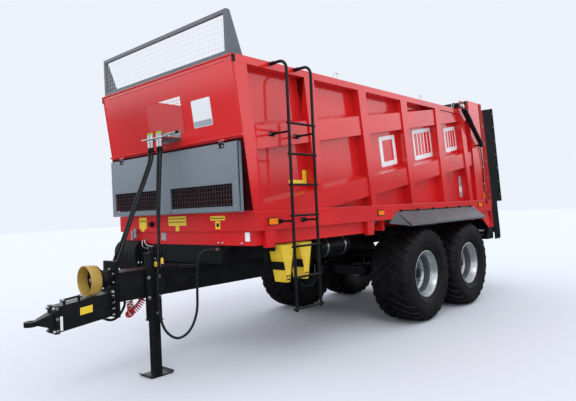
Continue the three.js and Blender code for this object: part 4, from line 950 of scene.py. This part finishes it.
def add_jack_details():
    """Gear housing, collars, bolts and locking pin of the parking jack."""
    mast_top = facing(at(JACK_X, JACK_Y, 1.172), (0, 0, 1))
    turned_piece("jack_gear", JACK_GEAR, mast_top, "black_paint", sides=28)
    collars = [box_solid(JACK_X - 0.062, JACK_X + 0.062, JACK_Y - 0.062, JACK_Y + 0.062, z, z + 0.014)
               for z in (0.523, 1.160)]
    mesh_piece("jack_collars", collars, "black_paint", bevel=0.003)
    bolts("jack_leg_bolts", [at(JACK_X + 0.055, JACK_Y, z) for z in (0.60, 1.12)], (1, 0, 0), 0.009)
    ring = [at(JACK_X + 0.105 + 0.016 * math.cos(a), JACK_Y - 0.03, 1.073 + 0.020 * math.sin(a))
            for a in (2 * math.pi * k / 20 for k in range(21))]
    tube_piece("jack_pin_ring", [ring], 0.0055, "yellow_plastic")
    turned_piece("jack_pin_grip", JACK_GRIP, facing(at(JACK_X + 0.125, JACK_Y + 0.03, 1.072), (0, 0, 1)),
                 "yellow_plastic", sides=16)


def add_drive_details():
    """The shield of the drive shaft, the splined stub inside it and the shaft under the box."""
    back = (0, 1, 0)
    shield = facing(at(0, SHIELD_Y, DRIVE_Z), back)
    ring = turned_piece("shield_ring", SHIELD_RING, shield, "ochre_plastic", sides=72, closed=True, smooth=40)
    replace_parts(ring, "pto_shield")
    cone = turned_piece("shield_cone", SHIELD_CONE, shield, "black_paint", sides=64, closed=True, smooth=30,
                        look="black_plastic")
    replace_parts(cone, "shield_bell")
    stub = [moved(turned(STUB), facing(at(0, SHIELD_Y + 0.050, DRIVE_Z), back))]
    for angle in around(6):
        offset = Vector((math.cos(angle), 0, math.sin(angle))) * 0.0150
        start, end = (at(0, SHIELD_Y + reach, DRIVE_Z) + offset for reach in (0.054, 0.165))
        stub.append(bar_solid(start, end, 0.0028))
    mesh_piece("drive_stub", stub, "bare_steel", "drive_line", smooth=30)
    line = facing(at(0, 0, DRIVE_Z), back)
    shaft = [turned(rod_profile(0.026, -3.559, 2.755))]
    for start, end in ((-1.50, -1.40), (2.62, 2.72)):
        shaft.append(turned([(0.026, start), (0.042, start + 0.004), (0.042, end - 0.004), (0.026, end)]))
    shaft = [moved(solid, line) for solid in shaft]
    tube = mesh_piece("drive_tube", shaft, "black_paint", "drive_line", smooth=35)
    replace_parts(tube, "drive_line")


add_drawbar_details()
add_jack_details()
add_drive_details()

# ---------------------------------------------------------------- side walls

REFLECTORS = [  # y0, y1, z0, z1 on the side beam
    (-2.813, -2.698, 1.406, 1.462), (-0.970, -0.854, 1.417, 1.470), (1.960, 2.075, 1.436, 1.500)]
STICKER = [(-2.360, -2.088, 1.785, 1.832), (-2.148, -2.088, 1.832, 1.935)]
PANELS = [  # y0, y1, z0, z1 on the sheet, and the number of red bars
    (-0.645, -0.271, 2.031, 2.405, 1), (0.205, 0.722, 2.158, 2.568, 5), (1.160, 1.548, 2.305, 2.665, 4)]
PANEL_RISE = 0.16  # how far the plates rise to the rear, per metre
HOOK_YS = (-1.62, 0.30, 1.30)
HOOK = [  # (y, z) from the top of the rail
    (-0.03, -0.002), (-0.02, 0.045), (0.02, 0.075), (0.055, 0.060), (0.045, 0.030)]


def side_plate(name, y0, y1, z0, z1, x, look, radius=0.006, offset=0.0015, lean=0.0, side=1, rise=0.0):
    """A thin rounded plate on an upright face that looks sideways. It may lean back and rise to the rear."""
    corners = []
    for u, v in rounded(y1 - y0, z1 - z0, radius):
        corners.append(at(side * x, (y0 + y1) / 2 + u - lean * v, (z0 + z1) / 2 + v + rise * u))
    if side < 0:
        corners.reverse()
    mesh_piece(name, [plate_solid(corners, (side, 0, 0), offset)], "red_paint", look=look)


def add_sticker():
    """An L-shaped yellow sticker on the sheet behind the ladder."""
    for i, sizes in enumerate(STICKER):
        side_plate(f"wall_sticker_{i}", *sizes, SHEET_OUT, "label_yellow", 0.004)


def add_reflectors():
    """Amber reflectors on the side beams and marker lamps on the rear columns."""
    grow = 0.008
    for hand, side in HANDS:
        for i, (y0, y1, z0, z1) in enumerate(REFLECTORS):
            side_plate(f"reflector_base_{hand}_{i}", y0 - grow, y1 + grow, z0 - grow, z1 + grow, BEAM_OUT,
                       "black_plastic", 0.008, 0.006, side=side)
            side_plate(f"reflector_{hand}_{i}", y0, y1, z0, z1, BEAM_OUT + 0.006, "amber_lens", 0.010, 0.008,
                       side=side)
        side_plate(f"marker_{hand}", 2.255, 2.320, 1.561, 1.662, WALL_OUT, "amber_lens", 0.012, 0.012,
                   side=side)


def add_side_labels():
    """Plain plates with red bars on three panels of each side, and a load label."""
    for hand, side in HANDS:
        for i, (y0, y1, z0, z1, count) in enumerate(PANELS):
            side_plate(f"panel_plate_{hand}_{i}", y0, y1, z0, z1, SHEET_OUT, "label_white", 0.02, 0.002,
                       POST_LEAN, side, PANEL_RISE)
            pitch = (y1 - y0 - 0.06) / count
            for k in range(count):
                bar_y = y0 + 0.03 + pitch * (k + 0.12)
                lift = PANEL_RISE * (bar_y + 0.38 * pitch - (y0 + y1) / 2)
                side_plate(f"panel_bar_{hand}_{i}_{k}", bar_y, bar_y + 0.76 * pitch, z0 + 0.06 + lift,
                           z1 - 0.05 + lift, SHEET_OUT + 0.002, "red_paint", 0.008, 0.0008, POST_LEAN, side,
                           PANEL_RISE)
        side_plate(f"load_label_{hand}", 1.585, 1.685, 1.60, 1.93, SHEET_OUT, "label_grey",
                   0.008, 0.001, 0.05, side)
        side_plate(f"load_label_band_{hand}", 1.592, 1.680, 1.68, 1.76, SHEET_OUT + 0.001, "label_white",
                   0.004, 0.0008, 0.05, side)


def add_wall_details():
    """Weld beads along the posts and rope hooks on the top rail."""
    seams, hooks = [], []
    x = SHEET_OUT + 0.001
    for side in (-1, 1):
        for top, base in zip(POST_TOPS, POST_BASES):
            for edge in (-1, 1):
                ends = [at(side * x, base + edge * 0.058, 1.55), at(side * x, top + edge * 0.079, 2.86)]
                seams.append(weld_route(ends, 0.0006))
        hooks += [route_through(*((side * 1.10, y + dy, WALL_TOP + dz) for dy, dz in HOOK)) for y in HOOK_YS]
    tube_piece("wall_welds", seams, 0.003, "red_paint", sides=2)
    tube_piece("rope_hooks", hooks, 0.0045, "bare_steel", sides=2)


def add_column_details():
    """Bolts down the rear columns, and the shaded flanges that close the gap to the walls."""
    flange = [  # (z, y from the wall's rear edge)
        (1.56, -0.150), (1.30, -0.135), (1.09, -0.060), (1.09, -0.002), (3.105, -0.002), (3.105, -0.118)]
    joint = [(1.43, -0.030), (1.43, 0.045), (3.015, 0.045), (3.015, -0.030)]
    parts = (("flange", WALL_OUT, flange, 0.0025), ("joint", 1.126, joint, 0.0020))
    for hand, side in HANDS:
        bolts(f"column_bolts_{hand}", [at(side * (WALL_OUT + 0.0025), rear_at(z) - 0.045, z)
                                       for z in (1.62, 1.90, 2.18, 2.46, 2.74, 3.02)], (side, 0, 0), 0.009)
        for part, x, outline, thick in parts:
            corners = [at(side * x, rear_at(z) + dy, z) for z, dy in outline[::side]]
            mesh_piece(f"column_{part}_{hand}", [plate_solid(corners, (side, 0, 0), thick)], "red_paint",
                       look="shaded_red")


add_sticker()
add_reflectors()
add_side_labels()
add_wall_details()
add_column_details()

# ---------------------------------------------------------------- chocks and mudguards

CHOCK_YS = (("front", -2.560), ("rear", -2.290))
CHOCK_TOP = 1.208
CHOCK_TOE = 0.846
CHOCK_HALF_TOP = 0.098
CHOCK_HALF_TOE = 0.024


def chock_half(z):
    """Half the chock's width at a height."""
    share = (z - CHOCK_TOE) / (CHOCK_TOP - CHOCK_TOE)
    return CHOCK_HALF_TOE + (CHOCK_HALF_TOP - CHOCK_HALF_TOE) * share


def chock_solids(y):
    """A wheel chock: a hollow wedge of folded sheet."""
    solids = []
    x0, x1 = 0.985, 1.140
    thick = 0.005
    outline = [(CHOCK_HALF_TOE, CHOCK_TOE), (CHOCK_HALF_TOP, CHOCK_TOP)]
    faces = [(0, 2, 6, 4), (1, 5, 7, 3), (0, 4, 5, 1), (2, 3, 7, 6), (0, 1, 3, 2), (4, 6, 7, 5)]
    for side in (-1, 1):
        points = [at(x, y + side * (half - inset), z)
                  for x in (x0, x1) for half, z in outline for inset in (0, thick)]
        solids.append((points, faces if side > 0 else [face[::-1] for face in faces]))
    reach = CHOCK_HALF_TOP - 0.004
    solids.append(box_solid(x0, x1, y - reach, y + reach, CHOCK_TOP - 0.008, CHOCK_TOP))
    for x in (x1 - 0.004, x0 + 0.006):
        web = [at(x, y + dy, z) for dy, z in (
            (-CHOCK_HALF_TOE, CHOCK_TOE), (CHOCK_HALF_TOE, CHOCK_TOE), (CHOCK_HALF_TOP, CHOCK_TOP),
            (-CHOCK_HALF_TOP, CHOCK_TOP))]
        solids.append(plate_solid(web, (1, 0, 0), 0.004))
    return solids


def add_chocks():
    """The two chocks with their ribs, black discs that paint the shade in each lightening hole, and the straps
    of their holders.
    """
    for place, y in CHOCK_YS:
        body = f"wheel_chock_{place}"
        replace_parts(mesh_piece(f"chock_{place}", chock_solids(y), "yellow_plastic", body, bevel=0.0015), body)
        steps = []
        for z in (0.98 + 0.045 * k for k in range(5)):
            edge = y - chock_half(z)
            steps.append(box_solid(1.000, 1.138, edge - 0.004, edge + 0.002, z, z + 0.012))
        mesh_piece(f"chock_ribs_{place}", steps, "yellow_plastic", body, bevel=0.0015)
        # Black discs painted as the shade inside each lightening hole; the web is not cut
        hole_shades = [facing(at(1.1405, y + dy, z), (1, 0, 0))
                 for dy, z in ((-0.010, 0.872), (0.012, 0.872), (-0.014, 0.905), (0.014, 0.905))]
        disc = [(0.010, 0), (0.010, 0.0012), (0, 0.0012)]
        turned_piece(f"chock_hole_shades_{place}", disc, hole_shades, "yellow_plastic", body, 16, smooth=None,
                     look="black_plastic")
        straps = [block_at(1.070, y + side * (chock_half(z) + 0.007), z, 0.080, 0.002, 0.008)
                  for side in (-1, 1) for z in (0.985, 1.025)]
        mesh_piece(f"chock_band_{place}", straps, "black_paint", bevel=0.001)


def add_mudguard_details():
    """Seal, folded edge, bolts and tabs of each mudguard."""
    for hand, side in HANDS:
        seal = [at(side * 1.160, y, 1.4525) for y in (-0.50, 1.70)]
        tube_piece(f"mudguard_seal_{hand}", [seal], 0.006, "black_paint", look="black_plastic", sides=3)
        edge = [at(side * 1.3465, y, 1.276) for y in (-0.540, 1.730)]
        tube_piece(f"mudguard_edge_{hand}", [edge], 0.007, "black_paint", look="slate_paint", sides=3)
        bolts(f"mudguard_bolts_{hand}", [at(side * 1.185, -0.40 + 0.42 * k, 1.4285) for k in range(6)],
              (side * 0.65, 0, 0.76), 0.008)
        tabs = [box_solid(side * 1.166 - 0.010, side * 1.166 + 0.010, y - 0.012, y + 0.012, 1.443, 1.470)
                for y in (-0.44, -0.02, 0.40, 0.82, 1.24, 1.62)]
        mesh_piece(f"mudguard_tabs_{hand}", tabs, "black_paint", bevel=0.002)


add_chocks()
add_mudguard_details()

# ---------------------------------------------------------------- rear unit

LIFT_FOOT = (2.110, 2.420)  # (y, z) of the lift cylinders' lower pins and of the crank pins
CRANK_PIN = (1.450, 2.975)
CYLINDER_X = 1.195
LIFT_BARREL = [
    (0.0, 0.018), (0.030, 0.018), (0.036, 0.030), (0.036, 0.500), (0.0385, 0.505), (0.0385, 0.552),
    (0.034, 0.560), (0.0195, 0.560), (0.0195, 0.545), (0, 0.545)]
BARREL_EYE = [(0, 0), (0.032, 0), (0.034, 0.003), (0.034, 0.041), (0.032, 0.044), (0, 0.044)]
ROD_EYE = [(0, 0), (0.028, 0), (0.030, 0.003), (0.030, 0.040), (0.028, 0.043), (0, 0.043)]
FOOT_PIN = [(0.018, -0.042), (0.018, 0.050), (0, 0.050)]
COLUMN_PIPE = [
    (1.145, 2.165, 2.40), (1.145, 2.20, 2.30), (1.142, 2.255, 2.10), (1.140, 2.275, 1.80),
    (1.162, 2.295, 1.53), (1.168, 2.30, 1.47)]
BEATER_LOW = 1.018
BEATER_HIGH = 2.945
FLIGHT_TURNS = 3
FLIGHT_STEPS = 40
TOOTH = [(0.325, -0.030, 0), (0.390, -0.024, 0), (0.394, 0.006, 0), (0.325, 0.030, 0)]
GUARD_X = 1.1265
GUARD_LEAN = 0.1338


def add_cylinders():
    """Smooth lift cylinders with eyes, ports, pins and dust sleeves, and the pipes that feed them."""
    direction = Vector((0, CRANK_PIN[0] - LIFT_FOOT[0], CRANK_PIN[1] - LIFT_FOOT[1]))
    stroke = direction.length
    sleeve = [(0.0410, 0.520), (0.0430, 0.520), (0.0430, stroke - 0.075), (0.0395, stroke - 0.060),
              (0.0170, stroke - 0.060), (0.0170, stroke - 0.064), (0.0385, stroke - 0.064),
              (0.0410, stroke - 0.078)]
    for hand, side in HANDS:
        barrel_body, rod_body = f"cylinder_barrel_{hand}", f"cylinder_rod_{hand}"
        foot = at(side * CYLINDER_X, *LIFT_FOOT)
        axis = facing(foot, direction)
        across = facing(foot - Vector((side * 0.022, 0, 0)), (side, 0, 0))
        barrel = [moved(turned(LIFT_BARREL, 40), axis), moved(turned(BARREL_EYE), across),
                  moved(turned(FOOT_PIN, 20), across)]
        piece = mesh_piece(f"lift_barrel_{hand}", barrel, "black_paint", barrel_body, smooth=35)
        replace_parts(piece, barrel_body)
        ports = [bar_solid(axis @ Vector((0, 0.034, t)), axis @ Vector((0, 0.054, t)), 0.012)
                 for t in (0.06, 0.30)]
        mesh_piece(f"lift_ports_{hand}", ports, "bare_steel", barrel_body, bevel=0.002)
        turned_piece(f"lift_sleeve_{hand}", sleeve, axis, "black_paint", rod_body, 40, True)
        head = facing(axis @ Vector((0, 0, stroke)) - Vector((side * 0.0235, 0, 0)), (side, 0, 0))
        rod = [moved(turned(rod_profile(0.0175, 0.400, stroke - 0.02)), axis), moved(turned(ROD_EYE), head)]
        piece = mesh_piece(f"lift_rod_{hand}", rod, "bare_steel", rod_body, smooth=35)
        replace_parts(piece, rod_body)
        pipe = route_through(*((side * x, y, z) for x, y, z in COLUMN_PIPE))
        tube_piece(f"column_pipe_{hand}", [pipe], 0.008, "hose_rubber")
        clips = [block_at(side * 1.140, y, z, 0.010, 0.014, 0.012) for y, z in ((2.258, 2.08), (2.275, 1.80))]
        mesh_piece(f"pipe_clips_{hand}", clips, "bare_steel", bevel=0.002)


def flight_solid(side, bottom, top):
    """The spiral sheet of a beater about its local axis."""
    points, faces = [], []
    total = FLIGHT_TURNS * FLIGHT_STEPS
    for i in range(total + 1):
        angle = side * 2 * math.pi * i / FLIGHT_STEPS
        z = bottom + (top - bottom) * i / total
        for radius, lift in ((0.080, 0.002), (0.372, 0.002), (0.372, 0.011), (0.080, 0.011)):
            points.append(Vector((radius * math.cos(angle), radius * math.sin(angle), z + lift)))
    for i in range(total):
        for j in range(4):
            a, b = 4 * i + j, 4 * i + (j + 1) % 4
            faces.append((a, a + 4, b + 4, b)[::side])
    end = 4 * total
    return points, faces + [(0, 1, 2, 3), (end + 3, end + 2, end + 1, end)]


def add_beater(hand, side):
    """An upright beater: core tube, spiral flight with bolted cutting teeth, and a spreading disc."""
    body = f"beater_{hand}"
    middle = (BEATER_LOW + BEATER_HIGH) / 2
    half = (BEATER_HIGH - BEATER_LOW) / 2
    lean = Matrix.Rotation(math.atan(BEATER_LEAN), 4, "X")
    axis = Matrix.Translation(at(side * BEATER_X, beater_at(middle), middle)) @ lean
    disc = [(0.080, 0.055), (0.358, 0.055), (0.360, 0.058), (0.360, 0.068), (0.358, 0.071), (0.080, 0.071)]
    solids = [turned(rod_profile(0.085, -half, half), 40),
              turned([(radius, height - half) for radius, height in disc], 48, closed=True)]
    blade = [Vector((x, y, z - half))
             for z in (0.062, 0.123) for y in (-0.004, 0.004) for x in (0.075, 0.345)]
    solids += [moved((blade, BOX_FACES), Matrix.Rotation(angle, 4, "Z")) for angle in around(4)]
    bottom, top = -half + 0.240, half - 0.130
    solids.append(flight_solid(side, bottom, top))
    solids = [moved(solid, axis) for solid in solids]
    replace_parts(mesh_piece(f"{body}_flight", solids, "red_paint", body, smooth=30), body)
    teeth, nuts = [], []
    total = FLIGHT_TURNS * FLIGHT_STEPS
    for i in range(2, total, 5):
        place = Matrix.Translation((0, 0, bottom + (top - bottom) * i / total + 0.0115))
        root = axis @ Matrix.Rotation(side * 2 * math.pi * i / FLIGHT_STEPS, 4, "Z") @ place
        teeth.append(moved(slab(TOOTH, 0.008), root))
        nuts += [root @ Matrix.Translation((0.342, dy, 0)) for dy in (-0.012, 0.012)]
    mesh_piece(f"{body}_teeth", teeth, "red_paint", body, look="bare_steel", bevel=0.0015)
    turned_piece(f"{body}_nuts", [(0.008, 0.008), (0.008, 0.015), (0, 0.015)], nuts, "red_paint", body, 6,
                 smooth=25, look="bare_steel")


def add_guard_details():
    """Bolts, folded edge and inner strip of each side guard."""
    for hand, side in HANDS:
        x = side * GUARD_X
        places = [at(x, 2.970 - GUARD_LEAN * (z - 1.6), z) for z in (1.62, 1.85, 2.08, 2.31, 2.54, 2.77, 3.0)]
        places += [at(x, 2.880, 1.507), at(x, 2.895, 0.95)]
        bolts(f"guard_bolts_{hand}", places, (side, 0, 0), 0.009)
        for part, low_y, low_z, high_y, high_z, radius in (
                ("edge", 3.040, 1.515, 2.810, 3.090, 0.006), ("strip", 2.990, 1.530, 2.765, 3.075, 0.004)):
            line = [at(x, low_y, low_z), at(x, high_y, high_z)]
            tube_piece(f"guard_{part}_{hand}", [line], radius, "black_paint", sides=3)


def pair(x0, x1, *sizes):
    """A box on each side of the centre line."""
    return [box_solid(*sorted((side * x0, side * x1)), *sizes) for side in (-1, 1)]


def add_rear_details():
    """Lamps and plate on the rear cross member, feet below the columns and bearings on the top beam."""
    low, high = 0.902, 0.968
    boards = pair(0.50, 0.86, 3.133, 3.150, 0.892, 0.978)
    mesh_piece("lamp_boards", boards, "black_paint", look="black_plastic", bevel=0.004)
    lamps = pair(0.60, 0.72, 3.150, 3.172, low, high) + pair(0.52, 0.585, 3.150, 3.168, low, high)
    mesh_piece("rear_lamps", lamps, "black_paint", look="red_lens", bevel=0.006)
    mesh_piece("turn_lamps", pair(0.735, 0.845, 3.150, 3.172, low, high), "black_paint", look="amber_lens",
               bevel=0.006)
    mesh_piece("number_plate", [box_solid(-0.26, 0.26, 3.133, 3.138, 0.884, 0.985)], "black_paint",
               look="label_white", bevel=0.002)
    mesh_piece("column_feet", pair(1.034, 1.111, 2.430, 2.662, 0.984, 1.079), "black_paint", bevel=0.004)
    tops = [facing(at(x, beater_at(2.958), 2.958), (0, 0, 1)) for x in (-BEATER_X, BEATER_X)]
    turned_piece("beater_bearings", [(0, 0), (0.080, 0), (0.080, 0.012), (0.060, 0.016), (0, 0.016)], tops,
                 "black_paint")


add_cylinders()
for beater_hand, beater_side in HANDS:
    add_beater(beater_hand, beater_side)
add_guard_details()
add_rear_details()

# ---------------------------------------------------------------- running gear

BRAKE_X = 0.36
BRAKE_Z = 0.640
BRAKE_POT = [
    (0, 0), (0.062, 0), (0.075, 0.02), (0.075, 0.05), (0.080, 0.055), (0.080, 0.065), (0.075, 0.07),
    (0.070, 0.11), (0.040, 0.125), (0, 0.125)]
TANK = [
    (0, 0), (0.08, 0.006), (0.118, 0.03), (0.125, 0.06), (0.125, 0.54), (0.118, 0.57), (0.08, 0.594),
    (0, 0.60)]
PIPE_UNION = [(0, 0), (0.012, 0), (0.012, 0.030), (0.008, 0.034), (0, 0.034)]


def add_brakes():
    """Brake chambers, their forks and the spring clips on the bogie."""
    for place, y in (("front", 0.0), ("rear", WHEELBASE)):
        pots, forks, clips = [], [], []
        for side in (-1, 1):
            pots.append(facing(at(side * BRAKE_X, y - 0.20, BRAKE_Z), (0, 1, 0)))
            start, end = (at(side * BRAKE_X, y + dy, BRAKE_Z) for dy in (-0.075, -0.062))
            forks.append(bar_solid(start, end, 0.010))
            for dy in (-0.075, 0.075):
                x = side * 0.492
                clips.append(route_through(*((x, y + dy, z) for z in (0.545, 0.70, 0.7025))))
                clips.append([at(side * 0.588, y + dy, z) for z in (0.545, 0.7025)])
        turned_piece(f"brake_pots_{place}", BRAKE_POT, pots, "black_paint", "bogie")
        mesh_piece(f"brake_forks_{place}", forks, "bare_steel", "bogie", bevel=0.002)
        tube_piece(f"spring_clips_{place}", clips, 0.009, "bare_steel", "bogie", sides=3)


def add_air_system():
    """The air tank with its straps, and the brake pipes up to their unions on the chassis."""
    axis = facing(at(0.70, -1.65, 1.085), (0, 1, 0))
    turned_piece("air_tank", TANK, axis, "black_paint", sides=40)
    straps = []
    for low in (0.12, 0.45):
        band = [(0.127, low), (0.127, low + 0.03), (0.1245, low + 0.03), (0.1245, low)]
        straps.append(moved(turned(band, 40, closed=True), axis))
    mesh_piece("air_tank_straps", straps, "black_paint", look="bare_steel", smooth=35)
    hangers = [box_solid(0.69, 0.71, y - 0.015, y + 0.015, 1.20, 1.30) for y in (-1.515, -1.185)]
    mesh_piece("air_tank_hangers", hangers, "black_paint", bevel=0.002)
    pipes = [route_through((side * 0.36, -2.6, 1.02), (side * 0.37, -1.2, 1.015), (side * 0.37, -0.80, 1.010),
                           (side * 0.37, -0.66, 0.985)) for side in (-1, 1)]
    tube_piece("brake_pipes", pipes, 0.006, "hose_rubber", sides=3)
    unions = [facing(at(side * 0.37, -0.672, 0.983), (0, 1, -0.2)) for side in (-1, 1)]
    turned_piece("brake_unions", PIPE_UNION, unions, "bare_steel", sides=6, smooth=25)


add_brakes()
add_air_system()

# ---------------------------------------------------------------- floor, sky and lights

FLOOR_TONE = (0.672, 0.708, 0.765, 1)
YARD_TONE = (0.09, 0.09, 0.10, 1)  # the dark ground that shows only in reflections
SKY_TONE = (0.845, 0.888, 0.965, 1)
DOME_BANDS = [  # (height, tone), from the horizon up
    (0.0, (0.05, 0.05, 0.055)), (0.040, (0.09, 0.09, 0.10)), (0.085, (1.15, 1.18, 1.25)),
    (0.16, (1.45, 1.48, 1.56)), (0.5, (1.20, 1.23, 1.30)), (1.0, (1.20, 1.23, 1.29))]
LIGHTS = [  # name, kind, place, angle or size, power, tint
    ("key", "SUN", (5.0, -6.0, 9.0), 0.35, 0.45, (1.0, 0.985, 0.96)),
    ("side_fill", "AREA", (12.0, -8.0, 3.0), 6.0, 90, (0.97, 0.98, 1.0))]


def add_blend(tree, ray, first, second, output):
    """Shows the second shader to one kind of ray and the first to all others."""
    path = tree.nodes.new("ShaderNodeLightPath").outputs[ray]
    blend = add_node(tree, "ShaderNodeMixShader", feeds={"Fac": path, 1: first, 2: second})
    tree.links.new(blend.outputs["Shader"], tree.nodes[output].inputs["Surface"])


def add_floor():
    """A pale floor that looks dark in reflections."""
    bpy.ops.mesh.primitive_plane_add(size=120, location=(0, 0, -0.001))
    floor = bpy.context.object
    floor.name = "floor"
    pale = bpy.data.materials.new("pale_floor")
    pale.use_nodes = True
    tree = pale.node_tree
    shader = tree.nodes["Principled BSDF"]
    shader.inputs["Base Color"].default_value = FLOOR_TONE
    shader.inputs["Roughness"].default_value = 0.9
    shader.inputs["Specular IOR Level"].default_value = 0.1
    yard = add_node(tree, "ShaderNodeBsdfDiffuse", {"Color": YARD_TONE})
    add_blend(tree, "Is Glossy Ray", shader.outputs["BSDF"], yard.outputs["BSDF"], "Material Output")
    floor.data.materials.append(pale)


def add_surround():
    """A banded dome that lights the machine. The camera sees one plain pale tone instead."""
    world = bpy.data.worlds.new("surround")
    world.use_nodes = True
    tree = world.node_tree
    plain = tree.nodes["Background"]
    plain.inputs["Color"].default_value = SKY_TONE
    place = tree.nodes.new("ShaderNodeTexCoord").outputs["Generated"]
    split = add_node(tree, "ShaderNodeSeparateXYZ", feeds={"Vector": place})
    bands = add_ramp(tree, split.outputs["Z"], DOME_BANDS)
    dome = add_node(tree, "ShaderNodeBackground", feeds={"Color": bands})
    add_blend(tree, "Is Camera Ray", dome.outputs["Background"], plain.outputs["Background"], "World Output")
    bpy.context.scene.world = world
    bpy.context.scene.view_settings.view_transform = "Standard"


def add_lights():
    """One soft sun and one large soft light from the side."""
    for name, kind, place, size, power, tint in LIGHTS:
        data = bpy.data.lights.new(name, kind)
        if kind == "SUN":
            data.angle = size
        else:
            data.size = size
        data.energy = power
        data.color = tint
        lamp = bpy.data.objects.new(name, data)
        lamp.location = place
        lamp.rotation_euler = (Vector((0, 0, 1.2)) - Vector(place)).to_track_quat("-Z", "Y").to_euler()
        bpy.context.scene.collection.objects.link(lamp)


add_floor()
add_surround()
add_lights()
bpy.context.view_layer.update()
